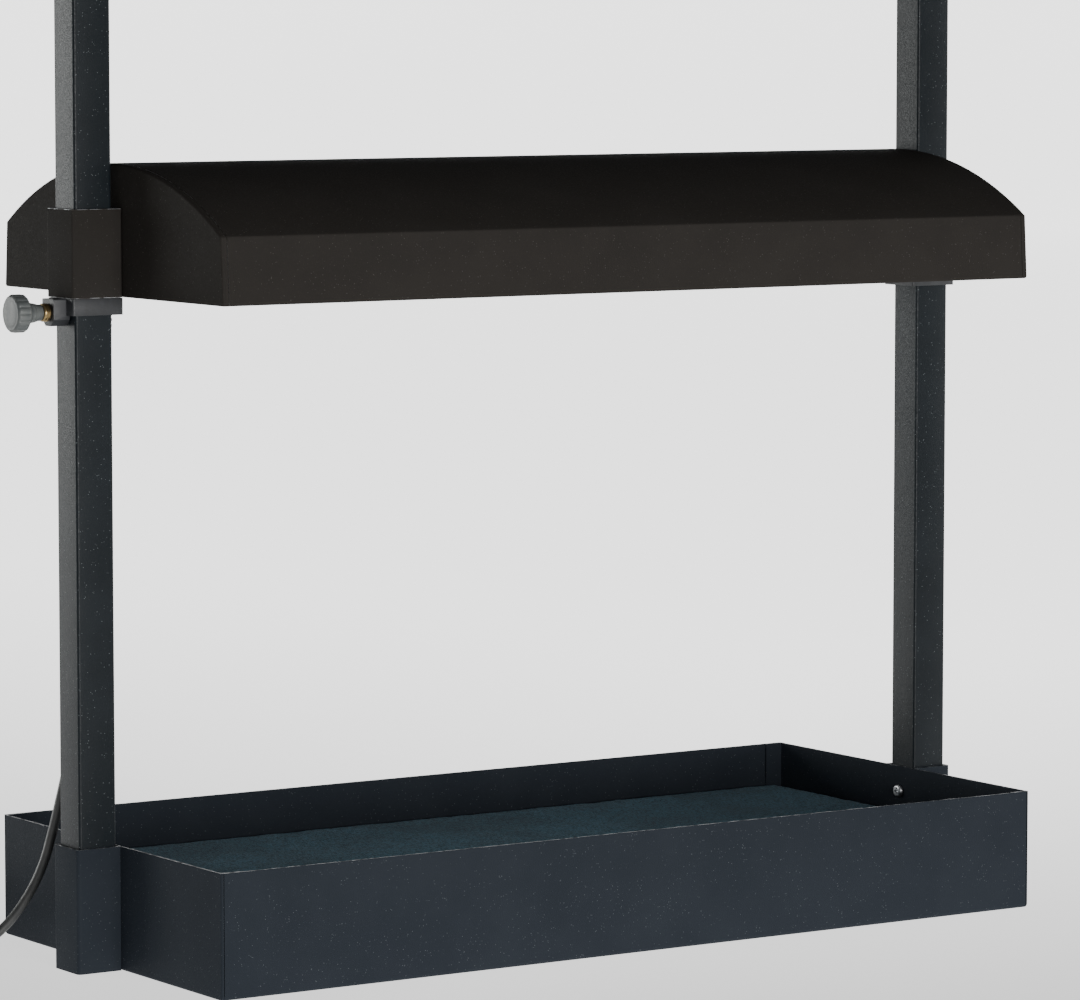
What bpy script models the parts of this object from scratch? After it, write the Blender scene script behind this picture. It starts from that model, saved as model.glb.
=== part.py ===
"""LED grow light: a sheet-steel tray, two square posts, and a lamp hood that slides on the posts.

Metres, +Z up. The origin is at the centre of the tray's underside.
X runs along the tray, and -Y is the front.
"""

from math import asin, cos, hypot, pi, radians, sin, sqrt

import bmesh
import bpy
from mathutils import Matrix, Vector

MM = 0.001
GAP = 0.3 * MM  # what separates two pieces that touch

# Tray
TRAY_LENGTH = 610 * MM
TRAY_DEPTH = 279 * MM
TRAY_HEIGHT = 77 * MM
TRAY_SHEET = 1.2 * MM
TRAY_BEND = 2.5 * MM
END_FLANGE = 14 * MM

# Posts and their sockets
POST_WIDTH = 25.4 * MM
POST_WALL = 1.5 * MM
POST_TOP = 610 * MM
POST_BEND = 1.6 * MM
POST_X = TRAY_LENGTH / 2 + 1.5 * MM + POST_WIDTH / 2
SOCKET_WALL = 1.5 * MM
SOCKET_CLEARANCE = 1.5 * MM
POST_SCREW_HEIGHTS = {"lower": 24 * MM, "upper": 60 * MM}
POST_SCREW_RADIUS = 2.5 * MM

# Hood, in its own frame: z = 0 is its lower edge
HOOD_BOTTOM = 414 * MM
HOOD_LENGTH = 602 * MM
HOOD_DEPTH = 272 * MM
HOOD_FLANGE = 41 * MM
HOOD_RISE = 40 * MM
HOOD_LEAN = 2.5 * MM
HOOD_SHEET = 0.8 * MM
HOOD_LIP = 12 * MM
HOOD_RIM = 4 * MM
HOOD_TAB = 22 * MM
SLEEVE_HEIGHT = 54 * MM
SLEEVE_WALL = 1.5 * MM
BUSH_WALL = 1.5 * MM
BUSH_CLEARANCE = 0.4 * MM
COLLAR_DROP = 10.5 * MM
COLLAR_REACH = 6 * MM

# Clamp, measured outwards from the post's outer face
CLAMP_DROP = 8.6 * MM
BLOCK_FACE = 12 * MM
BLOCK_WIDTH = 14.6 * MM
BLOCK_HEIGHT = 16.6 * MM
BLOCK_CHAMFER = 4 * MM
PAD_RADIUS = 4.6 * MM
PAD_THICKNESS = 2 * MM
PAD_POCKET = 5.1 * MM
NUT_FACE = 17 * MM
KNOB_BACK = 28.7 * MM
KNOB_FACE = 37.9 * MM
KNOB_RADIUS = 11.7 * MM
KNOB_FLUTES = 16
STUD_RADIUS = 2.7 * MM

# Lamp
LAMP_LEFT = -262 * MM
LAMP_RIGHT = 290 * MM
LAMP_WIDTH = 40 * MM
LAMP_TOP = 71 * MM
LAMP_HEIGHT = 26 * MM
LAMP_WALL = 1.6 * MM
LEFT_CAP = 46 * MM
RIGHT_CAP = 12 * MM
REFLECTOR_TOP = 76.6 * MM
REFLECTOR_SHEET = 0.6 * MM
RIB_SHEET = 1.2 * MM
RIB_WIDTH = 22 * MM
RIB_X = {"left": -150 * MM, "right": 170 * MM}
CLIP_HOLE = 2.3 * MM
LED_COUNT = 22
LED_SIZE = 5 * MM
SWITCH_X = LAMP_LEFT + 22 * MM
SWITCH_ROOM = (9.2 * MM, 6.2 * MM)
SWITCH_DEPTH = 13 * MM
ROCKER_TILT = 0.12
LEAD_DROP = 12 * MM

# Watering set
LINER_TOP = 44 * MM
LINER_WALL = 1.5 * MM
DECK_TOP = 47 * MM
DECK_THICKNESS = 2.4 * MM
MAT_THICKNESS = 3 * MM

# Mains cord
CORD_RADIUS = 3 * MM
COIL_CENTRE = (-359 * MM, 156 * MM)
COIL_OUTER = 47.1 * MM
COIL_INNER = 22.4 * MM
COIL_HEIGHT = 12.4 * MM
COIL_PITCH = 6.15 * MM  # between two turns that lie side by side
COIL_ENTRY = 220  # degrees round the coil, where the cord meets its outer turn
COIL_EXIT = 130  # degrees round the coil, where the cord leaves it for the plug
PLUG_BACK = 4.2 * MM
GLAND_X = -288.5 * MM
GLAND_Y = 30 * MM
GLAND_GROOVE = 5 * MM
GLAND_TAIL = 26 * MM

PARTS = "led_grow_light"
CUTTERS = "cutters"


def new_collection(name):
    collection = bpy.data.collections.new(name)
    bpy.context.scene.collection.children.link(collection)
    return collection


def material(name, colour, roughness, metallic=0.0):
    made = bpy.data.materials.new(name)
    made.use_nodes = True
    shader = made.node_tree.nodes["Principled BSDF"]
    shader.inputs["Base Color"].default_value = (*colour, 1.0)
    shader.inputs["Roughness"].default_value = roughness
    shader.inputs["Metallic"].default_value = metallic
    return made


def frame_empty(name, location, parent=None):
    empty = bpy.data.objects.new(name, None)
    empty.empty_display_size = 0.02
    empty.location = location
    empty.parent = parent
    bpy.data.collections[PARTS].objects.link(empty)
    return empty


def place(name, mesh, look, parent, location=(0, 0, 0), turn=None):
    """A named part, placed by its location and its turn. Without a look it is a cutter."""
    obj = bpy.data.objects.new(name, mesh)
    obj.parent = parent
    obj.location = location
    if turn is not None:
        obj.rotation_euler = turn.to_euler()
    if look is None:
        obj.hide_render = True
        obj.display_type = "WIRE"
        bpy.data.collections[CUTTERS].objects.link(obj)
    else:
        mesh.materials.clear()
        mesh.materials.append(look)
        bpy.data.collections[PARTS].objects.link(obj)
    return obj


def mesh_from(name, build):
    """A mesh filled by build(bm), its faces pointing out."""
    bm = bmesh.new()
    build(bm)
    bmesh.ops.recalc_face_normals(bm, faces=bm.faces)
    mesh = bpy.data.meshes.new(name)
    bm.to_mesh(mesh)
    bm.free()
    return mesh


def smooth(obj, angle=0.6):
    obj.data.shade_smooth()
    obj.data.set_sharp_from_angle(angle=angle)
    return obj


def box_mesh(name, low, high):
    size = [b - a for a, b in zip(low, high)]
    centre = [(a + b) / 2 for a, b in zip(low, high)]

    def build(bm):
        matrix = Matrix.Translation(centre) @ Matrix.Diagonal((*size, 1.0))
        bmesh.ops.create_cube(bm, size=1.0, matrix=matrix)

    return mesh_from(name, build)


def box(name, low, high, look, parent=None):
    return place(name, box_mesh(name, low, high), look, parent)


def bevel(obj, width, segments=2, angle=0.6):
    made = obj.modifiers.new("edges", "BEVEL")
    made.width = width
    made.segments = segments
    made.limit_method = "ANGLE"
    made.angle_limit = angle
    return obj


def boolean(obj, other, operation):
    made = obj.modifiers.new(other.name, "BOOLEAN")
    made.operation = operation
    made.object = other
    return obj


def cut_box(obj, name, low, high):
    return boolean(obj, box(name, low, high, None, obj.parent), "DIFFERENCE")


def add_box(obj, name, low, high):
    return boolean(obj, box(name, low, high, None, obj.parent), "UNION")


def cut_round(obj, name, centre, radius, length, axis, sides=20):
    """A round hole through obj, centred on centre, along axis X, Y or Z."""
    turn = {
        "X": Matrix.Rotation(pi / 2, 3, "Y"),
        "Y": Matrix.Rotation(pi / 2, 3, "X"),
        "Z": Matrix.Identity(3),
    }

    def build(bm):
        bmesh.ops.create_cone(
            bm, cap_ends=True, segments=sides, radius1=radius, radius2=radius, depth=length
        )

    cutter = place(name, mesh_from(name, build), None, obj.parent, centre, turn[axis])
    return boolean(obj, cutter, "DIFFERENCE")


def extruded(name, outlines, axis, start, end, look, parent=None):
    """Closed flat outlines, the inner ones being holes, extruded along X, Y or Z from start to end."""
    curve = bpy.data.curves.new(name, "CURVE")
    curve.dimensions = "2D"
    curve.fill_mode = "BOTH"
    curve.extrude = (end - start) / 2
    for outline in outlines:
        spline = curve.splines.new("POLY")
        spline.points.add(len(outline) - 1)
        spline.use_cyclic_u = True
        for point, (a, b) in zip(spline.points, outline):
            point.co = (a, b, 0, 1)
    holder = bpy.data.objects.new(name + "_outline", curve)
    bpy.context.scene.collection.objects.link(holder)
    graph = bpy.context.evaluated_depsgraph_get()
    filled = bpy.data.meshes.new_from_object(holder.evaluated_get(graph))
    bpy.data.objects.remove(holder)
    bpy.data.curves.remove(curve)
    middle = (start + end) / 2
    frames = {
        "X": Matrix(((0, 0, 1, middle), (1, 0, 0, 0), (0, 1, 0, 0), (0, 0, 0, 1))),
        "Y": Matrix(((1, 0, 0, 0), (0, 0, -1, middle), (0, 1, 0, 0), (0, 0, 0, 1))),
        "Z": Matrix.Translation((0, 0, middle)),
    }

    def build(bm):
        bm.from_mesh(filled)
        bmesh.ops.remove_doubles(bm, verts=bm.verts, dist=1e-6)
        bmesh.ops.transform(bm, matrix=frames[axis], verts=bm.verts)

    mesh = mesh_from(name, build)
    bpy.data.meshes.remove(filled)
    return place(name, mesh, look, parent)


def lofted(name, rings, look, parent=None, location=(0, 0, 0)):
    """A closed solid through rings of equally many points, with a flat cap on the first and on the last."""

    def build(bm):
        loops = [[bm.verts.new(point) for point in ring] for ring in rings]
        for first, second in zip(loops, loops[1:]):
            for i in range(len(first)):
                j = (i + 1) % len(first)
                bm.faces.new((first[i], first[j], second[j], second[i]))
        bm.faces.new(loops[0])
        bm.faces.new(loops[-1])

    return place(name, mesh_from(name, build), look, parent, location)


def turned(name, profile, steps, look, parent, location, turn=None, closed=False):
    """(radius, height) points, down the outer side from the top, turned about the object's own Z axis."""
    edges = [(i, i + 1) for i in range(len(profile) - 1)]
    if closed:
        edges.append((len(profile) - 1, 0))
    mesh = bpy.data.meshes.new(name)
    mesh.from_pydata([(radius, 0, height) for radius, height in profile], edges, [])
    obj = place(name, mesh, look, parent, location, turn)
    screw = obj.modifiers.new("turned", "SCREW")
    screw.steps = steps
    screw.render_steps = steps
    screw.use_merge_vertices = True
    screw.merge_threshold = 1e-5
    screw.use_smooth_shade = True
    return obj


def along(direction):
    """The turn that takes a turned piece's Z axis to direction."""
    return Vector((0, 0, 1)).rotation_difference(Vector(direction)).to_matrix()


def rectangle(half_x, half_y, z, corner=0.0, steps=3):
    """A level ring of points round a rectangle, with rounded corners if a corner radius is given."""
    points = []
    for quarter, (sx, sy) in enumerate(((1, 1), (-1, 1), (-1, -1), (1, -1))):
        cx = sx * (half_x - corner)
        cy = sy * (half_y - corner)
        count = steps if corner else 0
        for i in range(count + 1):
            angle = (quarter + (i / steps if corner else 0)) * pi / 2
            points.append((cx + corner * cos(angle), cy + corner * sin(angle), z))
    return points


def flat(ring):
    return [point[:2] for point in ring]


def smooth_route(stops, spacing):
    """Points about spacing apart on a smooth curve through the stops."""
    ends = [2 * stops[0] - stops[1], *stops, 2 * stops[-1] - stops[-2]]
    points = []
    for before, a, b, after in zip(ends, ends[1:], ends[2:], ends[3:]):
        count = max(2, round((b - a).length / spacing))
        for i in range(count):
            t = i / count
            points.append(
                0.5
                * (
                    2 * a
                    + (b - before) * t
                    + (2 * before - 5 * a + 4 * b - after) * t**2
                    + (3 * a - before - 3 * b + after) * t**3
                )
            )
    return [*points, stops[-1]]


def tube(name, points, radius, look, parent=None):
    curve = bpy.data.curves.new(name, "CURVE")
    curve.dimensions = "3D"
    curve.bevel_depth = radius
    curve.bevel_resolution = 2
    curve.use_fill_caps = True
    spline = curve.splines.new("POLY")
    spline.points.add(len(points) - 1)
    for knot, point in zip(spline.points, points):
        knot.co = (*point, 1)
    curve.materials.append(look)
    obj = bpy.data.objects.new(name, curve)
    obj.parent = parent
    bpy.data.collections[PARTS].objects.link(obj)
    return obj


def tray_outline(inset, top=TRAY_HEIGHT, steps=3):
    """The tray's cross-section in Y and Z: two walls and a floor, moved inwards by inset."""
    half = TRAY_DEPTH / 2 - inset
    bend = max(TRAY_BEND - inset, 0.4 * MM)
    points = [(-half, top)]
    for side, start in ((-1, pi), (1, 1.5 * pi)):
        for i in range(steps + 1):
            angle = start + i / steps * pi / 2
            points.append((side * (half - bend) + bend * cos(angle), inset + bend + bend * sin(angle)))
    return [*points, (half, top)]


def hood_outline(inset, steps=24):
    """The hood's cross-section in Y and Z: leaning flanges and an arched top, moved inwards by inset."""
    half = HOOD_DEPTH / 2
    radius = (half**2 + HOOD_RISE**2) / (2 * HOOD_RISE)
    centre = HOOD_FLANGE + HOOD_RISE - radius
    lean = HOOD_LEAN / HOOD_FLANGE
    top_half = half - inset * hypot(1, lean)
    span = asin(top_half / (radius - inset))
    arch = []
    for i in range(steps + 1):
        angle = -span + 2 * span * i / steps
        arch.append(((radius - inset) * sin(angle), centre + (radius - inset) * cos(angle)))
    foot = top_half + lean * (HOOD_FLANGE - inset)
    return [(-foot, inset), *arch, (foot, inset)]


def hood_section(inset, sheet):
    """A closed outline of sheet metal that follows the hood from lip to lip."""
    outer = hood_outline(inset)
    inner = hood_outline(inset + sheet)
    lip = outer[-1][0] - HOOD_LIP
    return [(-lip, inset), *outer, (lip, inset), (lip, inset + sheet), *inner[::-1], (-lip, inset + sheet)]


def flanged_end(name, outline, side, face, rim, reach, sheet, look, parent):
    """An end plate whose edge runs rim along the body, then steps in under the body's sheet as a tab."""
    under = sheet + GAP
    stations = (
        (0, 0),
        (rim, 0),
        (rim, under),
        (reach, under),
        (reach, under + sheet),
        (sheet, under + sheet),
    )
    rings = []
    for depth, inset in stations:
        rings.append([(side * (face - depth), y, z) for y, z in outline(inset)])
    return lofted(name, rings, look, parent)


def make_looks():
    return {
        "tray": material("tray_paint", (0.035, 0.039, 0.045), 0.5, 0.2),
        "hood": material("hood_paint", (0.034, 0.03, 0.028), 0.45, 0.2),
        "post": material("post_paint", (0.02, 0.025, 0.028), 0.5, 0.2),
        "plastic": material("black_plastic", (0.018, 0.018, 0.019), 0.55),
        "knob": material("knob_plastic", (0.05, 0.055, 0.056), 0.6),
        "zinc": material("zinc_steel", (0.55, 0.56, 0.58), 0.35, 1.0),
        "brass": material("brass", (0.62, 0.45, 0.2), 0.35, 1.0),
        "aluminium": material("anodised_aluminium", (0.72, 0.73, 0.75), 0.35, 1.0),
        "reflector": material("reflector_white", (0.86, 0.86, 0.85), 0.3),
        "board": material("board_white", (0.8, 0.82, 0.8), 0.5),
        "lens": material("frosted_lens", (0.9, 0.9, 0.88), 0.4),
        "rubber": material("rubber", (0.015, 0.015, 0.015), 0.7),
        "mat": material("capillary_felt", (0.09, 0.14, 0.17), 0.95),
        "cord": material("cord_sheath", (0.03, 0.031, 0.03), 0.5),
    }


def make_tray(looks, base):
    inner_end = TRAY_LENGTH / 2 - TRAY_SHEET - GAP
    section = [*tray_outline(0), *tray_outline(TRAY_SHEET)[::-1]]
    extruded("tray_pan", [section], "X", -inner_end, inner_end, looks["tray"], base)
    above = 20 * MM
    for side, label in ((-1, "left"), (1, "right")):
        end = flanged_end(
            f"tray_end_{label}",
            lambda inset: tray_outline(inset, TRAY_HEIGHT + above),
            side,
            TRAY_LENGTH / 2,
            TRAY_SHEET,
            END_FLANGE,
            TRAY_SHEET,
            looks["tray"],
            base,
        )
        cut_box(
            end,
            f"above_end_{label}",
            (-TRAY_LENGTH, -TRAY_DEPTH, TRAY_HEIGHT),
            (TRAY_LENGTH, TRAY_DEPTH, TRAY_HEIGHT + 2 * above),
        )
        for level, height in POST_SCREW_HEIGHTS.items():
            centre = (side * TRAY_LENGTH / 2, 0, height)
            cut_round(end, f"end_hole_{label}_{level}", centre, POST_SCREW_RADIUS + GAP, 8 * MM, "X")


def make_socket(looks, base, side, label):
    inner = TRAY_LENGTH / 2 + GAP
    outer = POST_X + POST_WIDTH / 2 + SOCKET_CLEARANCE + SOCKET_WALL
    half = POST_WIDTH / 2 + SOCKET_CLEARANCE + SOCKET_WALL
    start, end = sorted((side * inner, side * outer))
    socket = box(
        f"socket_{label}", (start, -half, 0), (end, half, TRAY_HEIGHT), looks["tray"], base
    )
    beyond = 5 * MM
    start, end = sorted((side * (inner - beyond), side * (outer - SOCKET_WALL)))
    room = half - SOCKET_WALL
    cut_box(
        socket,
        f"socket_room_{label}",
        (start, -room, SOCKET_WALL),
        (end, room, TRAY_HEIGHT + beyond),
    )


def make_post(looks, base, side, label):
    half = POST_WIDTH / 2
    outer = flat(rectangle(half, half, 0, POST_BEND))
    inner = flat(rectangle(half - POST_WALL, half - POST_WALL, 0, POST_BEND / 2))
    post = extruded(
        f"post_{label}", [outer, inner], "Z", SOCKET_WALL + GAP, POST_TOP, looks["post"], base
    )
    post.location.x = side * POST_X
    smooth(post)
    for level, height in POST_SCREW_HEIGHTS.items():
        centre = (side * (POST_X - half), 0, height)
        cut_round(post, f"post_hole_{label}_{level}", centre, POST_SCREW_RADIUS + GAP, 8 * MM, "X")
    make_post_cap(looks, base, side, label)
    for level, height in POST_SCREW_HEIGHTS.items():
        make_post_screw(looks, base, side, f"post_screw_{label}_{level}", height)


def make_post_cap(looks, base, side, label):
    """A plug for the post's open top: a thin head over the wall, and a ribless shank inside it."""
    half = POST_WIDTH / 2
    shank = half - POST_WALL - GAP
    edge = 0.6 * MM
    sizes = (
        (half - 1.2 * MM, 2.6 * MM),
        (half - edge, 2.4 * MM),
        (half, 1.6 * MM),
        (half, 0),
        (shank, 0),
        (shank, -11 * MM),
        (shank - edge, -12 * MM),
    )
    rings = [rectangle(size, size, z, POST_BEND) for size, z in sizes]
    place_at = (side * POST_X, 0, POST_TOP + GAP)
    smooth(lofted(f"post_cap_{label}", rings, looks["plastic"], base, place_at), 0.4)


def make_post_screw(looks, base, side, name, height):
    """A pan-head screw put in from inside the tray: it goes through the tray's end into the post."""
    bearing_x = side * (TRAY_LENGTH / 2 - TRAY_SHEET - GAP)
    head_radius = 4.4 * MM
    head = 2.2 * MM
    rounding = 1.2 * MM
    length = 13 * MM
    point = 1 * MM
    drive_radius = 1.5 * MM
    drive_depth = 1.2 * MM
    profile = (
        (0, head - drive_depth),
        (drive_radius, head - drive_depth),
        (drive_radius, head),
        (head_radius - rounding, head),
        (head_radius, head - rounding),
        (head_radius, 0),
        (POST_SCREW_RADIUS, 0),
        (POST_SCREW_RADIUS, point - length),
        (POST_SCREW_RADIUS - point, -length),
        (0, -length),
    )
    turned(name, profile, 12, looks["zinc"], base, (bearing_x, 0, height), along((-side, 0, 0)))


def make_watering_set(looks, base):
    """The liner that holds the water, the deck that stands in it, and the mat that draws the water up."""
    outer_x = TRAY_LENGTH / 2 - 4.2 * MM
    outer_y = TRAY_DEPTH / 2 - 3.2 * MM
    floor = 2 * TRAY_SHEET + 2 * GAP
    corner = 6 * MM
    draft = 1.5 * MM
    base_ring = rectangle(outer_x - draft, outer_y - draft, floor, corner)
    rings = [
        base_ring,
        rectangle(outer_x, outer_y, LINER_TOP, corner),
        rectangle(outer_x - LINER_WALL, outer_y - LINER_WALL, LINER_TOP, corner),
        rectangle(outer_x - draft - LINER_WALL, outer_y - draft - LINER_WALL, floor + LINER_WALL, corner),
    ]
    smooth(lofted("water_liner", rings, looks["plastic"], base), 0.5)

    play = 2 * MM
    deck_x = outer_x - LINER_WALL - draft - play
    deck_y = outer_y - LINER_WALL - draft - play
    underside = DECK_TOP - DECK_THICKNESS
    deck = extruded(
        "mat_deck",
        [flat(rectangle(deck_x, deck_y, 0, corner))],
        "Z",
        underside,
        DECK_TOP,
        looks["plastic"],
        base,
    )
    leg = 5 * MM
    foot = floor + LINER_WALL + GAP
    for row, y in enumerate((-deck_y * 0.7, deck_y * 0.55)):
        for column in range(4):
            x = deck_x * 0.85 * (2 * column / 3 - 1)
            low = (x - leg, y - leg, foot)
            add_box(deck, f"leg_{row}_{column}", low, (x + leg, y + leg, underside + 1 * MM))
    slot_x = 34 * MM
    slot_y = deck_y - 14 * MM
    slot_half = 3 * MM
    beyond = 5 * MM
    cut_box(
        deck,
        "wick_slot",
        (-slot_x, slot_y - slot_half, underside - beyond),
        (slot_x, slot_y + slot_half, DECK_TOP + beyond),
    )
    make_mat(looks, base, (deck_x - 3 * MM, deck_y - 3 * MM), (slot_x - 2 * MM, slot_y), foot + 2 * MM)


def make_mat(looks, base, half_size, wick, wick_foot):
    """A felt mat with a tongue, the wick, that hangs down through the deck into the water."""
    mat_x, mat_y = half_size
    wick_x, wick_y = wick
    mat_low = DECK_TOP + GAP
    mat = box(
        "capillary_mat",
        (-mat_x, -mat_y, mat_low),
        (mat_x, mat_y, mat_low + MAT_THICKNESS),
        looks["mat"],
        base,
    )
    wick_half = MAT_THICKNESS / 2
    add_box(
        mat,
        "wick",
        (-wick_x, wick_y - wick_half, wick_foot),
        (wick_x, wick_y + wick_half, mat_low + wick_half),
    )


def make_hood_shell(looks, hood):
    face = HOOD_LENGTH / 2
    inner = face - HOOD_RIM - GAP
    section = hood_section(0, HOOD_SHEET)
    smooth(extruded("hood_shell", [section], "X", -inner, inner, looks["hood"], hood), 0.35)
    for side, label in ((-1, "left"), (1, "right")):
        end = flanged_end(
            f"hood_end_{label}",
            hood_outline,
            side,
            face,
            HOOD_RIM,
            HOOD_TAB,
            HOOD_SHEET,
            looks["hood"],
            hood,
        )
        smooth(end, 0.35)
        if side < 0:
            hole = GLAND_GROOVE + GAP
            cut_round(end, "gland_hole", (GLAND_X, GLAND_Y, 0), hole, 12 * MM, "Z", 24)
    rib_inset = HOOD_SHEET + GAP
    outer = hood_outline(rib_inset)
    inner_line = hood_outline(rib_inset + RIB_SHEET)
    rib_section = [*outer[1:-1], *inner_line[1:-1][::-1]]
    for label, x in RIB_X.items():
        rib = extruded(
            f"hood_rib_{label}",
            [rib_section],
            "X",
            x - RIB_WIDTH / 2,
            x + RIB_WIDTH / 2,
            looks["zinc"],
            hood,
        )
        smooth(rib, 0.35)
        cut_round(rib, f"rib_hole_{label}", (x, 0, LAMP_TOP), CLIP_HOLE, 40 * MM, "Z")


def make_sleeve(looks, hood, side, label):
    """A square tube on the hood's end, which holds the bush that runs on the post."""
    half_y = POST_WIDTH / 2 + BUSH_CLEARANCE + BUSH_WALL + GAP + SLEEVE_WALL
    outer = POST_X + half_y
    inner = HOOD_LENGTH / 2 + GAP
    centre = side * (outer + inner) / 2
    half_x = (outer - inner) / 2
    rings = [
        flat(rectangle(half_x, half_y, 0, 1.2 * MM)),
        flat(rectangle(half_x - SLEEVE_WALL, half_y - SLEEVE_WALL, 0, 0.6 * MM)),
    ]
    sleeve = extruded(f"sleeve_{label}", rings, "Z", 0, SLEEVE_HEIGHT, looks["hood"], hood)
    sleeve.location.x = centre
    return smooth(sleeve)


def make_bush(looks, hood, side, name, clamped):
    """The plastic bush inside a sleeve. Its collar shows below the hood, and one has a block on it."""
    wall = POST_WIDTH / 2 + BUSH_CLEARANCE + BUSH_WALL
    sleeve_room = HOOD_LENGTH / 2 + 2 * GAP + SLEEVE_WALL
    ends = sorted((side * sleeve_room, side * (POST_X + wall)))
    top = SLEEVE_HEIGHT - 2 * MM
    bush = box(name, (ends[0], -wall, -GAP - 1 * MM), (ends[1], wall, top), looks["plastic"], hood)
    collar_half = POST_WIDTH / 2 + 3.1 * MM
    collar_out = POST_X + POST_WIDTH / 2 + 3.3 * MM
    collar_in = POST_X - POST_WIDTH / 2 - COLLAR_REACH
    collar = sorted((side * collar_in, side * collar_out))
    add_box(bush, f"{name}_collar", (collar[0], -collar_half, -COLLAR_DROP), (collar[1], collar_half, -GAP))
    if clamped:
        block = clamp_block(bush, side)
        boolean(bush, block, "UNION")
    room = POST_WIDTH / 2 + BUSH_CLEARANCE
    low = (side * POST_X - room, -room, -30 * MM)
    cut_box(bush, f"{name}_bore", low, (side * POST_X + room, room, SLEEVE_HEIGHT + 5 * MM))
    if clamped:
        face = POST_X + POST_WIDTH / 2
        centre = (side * (face + PAD_POCKET / 2), 0, -CLAMP_DROP)
        cut_round(bush, "pad_pocket", centre, PAD_RADIUS + 0.4 * MM, PAD_POCKET, "X", 24)
        centre = (side * (face + BLOCK_FACE / 2), 0, -CLAMP_DROP)
        cut_round(bush, "nut_bore", centre, 4.3 * MM, BLOCK_FACE + 6 * MM, "X", 24)


def clamp_block(bush, side):
    """The block on the collar's outer side, with its lower corners cut off."""
    half = BLOCK_WIDTH / 2
    bottom = -GAP - BLOCK_HEIGHT
    outline = [
        (-half, -GAP),
        (-half, bottom + BLOCK_CHAMFER),
        (-half + BLOCK_CHAMFER, bottom),
        (half - BLOCK_CHAMFER, bottom),
        (half, bottom + BLOCK_CHAMFER),
        (half, -GAP),
    ]
    face = POST_X + POST_WIDTH / 2
    ends = sorted((side * (face + 1 * MM), side * (face + BLOCK_FACE)))
    return extruded("clamp_block", [outline], "X", *ends, None, bush.parent)


def make_clamp(looks, hood):
    """Flanged nut, swivel pad, stud and knob. The knob turns on the pad, which the thread moves along X."""
    face = POST_X + POST_WIDTH / 2
    outward = along((-1, 0, 0))
    seat = (-face, 0, -CLAMP_DROP)
    bore = STUD_RADIUS + GAP
    flange = 5.6 * MM
    barrel = 4 * MM
    nut_start = PAD_POCKET + GAP
    nut = (
        (flange - 0.8 * MM, NUT_FACE),
        (flange, NUT_FACE - 0.8 * MM),
        (flange, BLOCK_FACE + GAP),
        (barrel, BLOCK_FACE + GAP),
        (barrel, nut_start),
        (bore, nut_start),
        (bore, NUT_FACE),
    )
    turned("clamp_nut", nut, 24, looks["brass"], hood, seat, outward, closed=True)

    slider = frame_empty("clamp_slide_axis", seat, hood)
    recess = 0.9 * MM
    tip = 1.9 * MM
    pad_end = GAP + PAD_THICKNESS
    pad = (
        (0, pad_end - recess),
        (tip + GAP, pad_end - recess),
        (tip + GAP, pad_end),
        (PAD_RADIUS - 0.4 * MM, pad_end),
        (PAD_RADIUS, pad_end - 0.4 * MM),
        (PAD_RADIUS, GAP),
        (0, GAP),
    )
    turned("clamp_pad", pad, 20, looks["plastic"], slider, (0, 0, 0), outward)

    turner = frame_empty("clamp_turn_axis", (0, 0, 0), slider)
    knob_bore_end = KNOB_FACE - 4 * MM
    stud = (
        (0, knob_bore_end - GAP),
        (STUD_RADIUS - 0.5 * MM, knob_bore_end - GAP),
        (STUD_RADIUS, knob_bore_end - 1 * MM),
        (STUD_RADIUS, pad_end + 1 * MM),
        (tip, pad_end + 0.4 * MM),
        (tip, pad_end - recess + GAP),
        (0, pad_end - recess + GAP),
    )
    turned("clamp_stud", stud, 20, looks["zinc"], turner, (0, 0, 0), outward)
    make_knob(looks, turner, bore, knob_bore_end)


def make_knob(looks, turner, bore, bore_end):
    points_per_flute = 5
    count = KNOB_FLUTES * points_per_flute
    flute = 0.5 * MM
    hub_back = NUT_FACE + GAP

    def ring(x, radius, depth):
        points = []
        for i in range(count):
            angle = 2 * pi * i / count
            wave = abs(sin(angle * KNOB_FLUTES / 2))
            reach = radius - depth * (1 - wave)
            points.append((-x, reach * cos(angle), reach * sin(angle)))
        return points

    rings = [
        ring(KNOB_FACE - 0.4 * MM, KNOB_RADIUS - 2.6 * MM, 0),
        ring(KNOB_FACE, KNOB_RADIUS - 1.6 * MM, 0),
        ring(KNOB_FACE - 0.3 * MM, KNOB_RADIUS - 0.8 * MM, 0),
        ring(KNOB_FACE - 1.1 * MM, KNOB_RADIUS, flute),
        ring(KNOB_BACK + 0.8 * MM, KNOB_RADIUS, flute),
        ring(KNOB_BACK, KNOB_RADIUS - 0.9 * MM, 0),
        ring(KNOB_BACK, 6.4 * MM, 0),
        ring(hub_back + 4 * MM, 5.2 * MM, 0),
        ring(hub_back, 5.2 * MM, 0),
        ring(hub_back, bore, 0),
        ring(bore_end, bore, 0),
    ]
    smooth(lofted("clamp_knob", rings, looks["knob"], turner), 0.5)


def make_reflector(looks, hood):
    """A folded sheet over the lamp: a flat middle, and two wings that lean down towards the flanges."""
    corners = ((0, REFLECTOR_TOP), (26 * MM, REFLECTOR_TOP), (78 * MM, 62 * MM), (112 * MM, 44 * MM))
    upper = [*[(-y, z) for y, z in corners[:0:-1]], *corners[1:]]
    lower = [(y, z - REFLECTOR_SHEET) for y, z in upper]
    section = [*upper, *lower[::-1]]
    short = 4 * MM
    sheet = extruded(
        "reflector", [section], "X", LAMP_LEFT + short, LAMP_RIGHT - short, looks["reflector"], hood
    )
    for label, x in RIB_X.items():
        cut_round(sheet, f"reflector_hole_{label}", (x, 0, REFLECTOR_TOP), CLIP_HOLE, 20 * MM, "Z")


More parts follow.
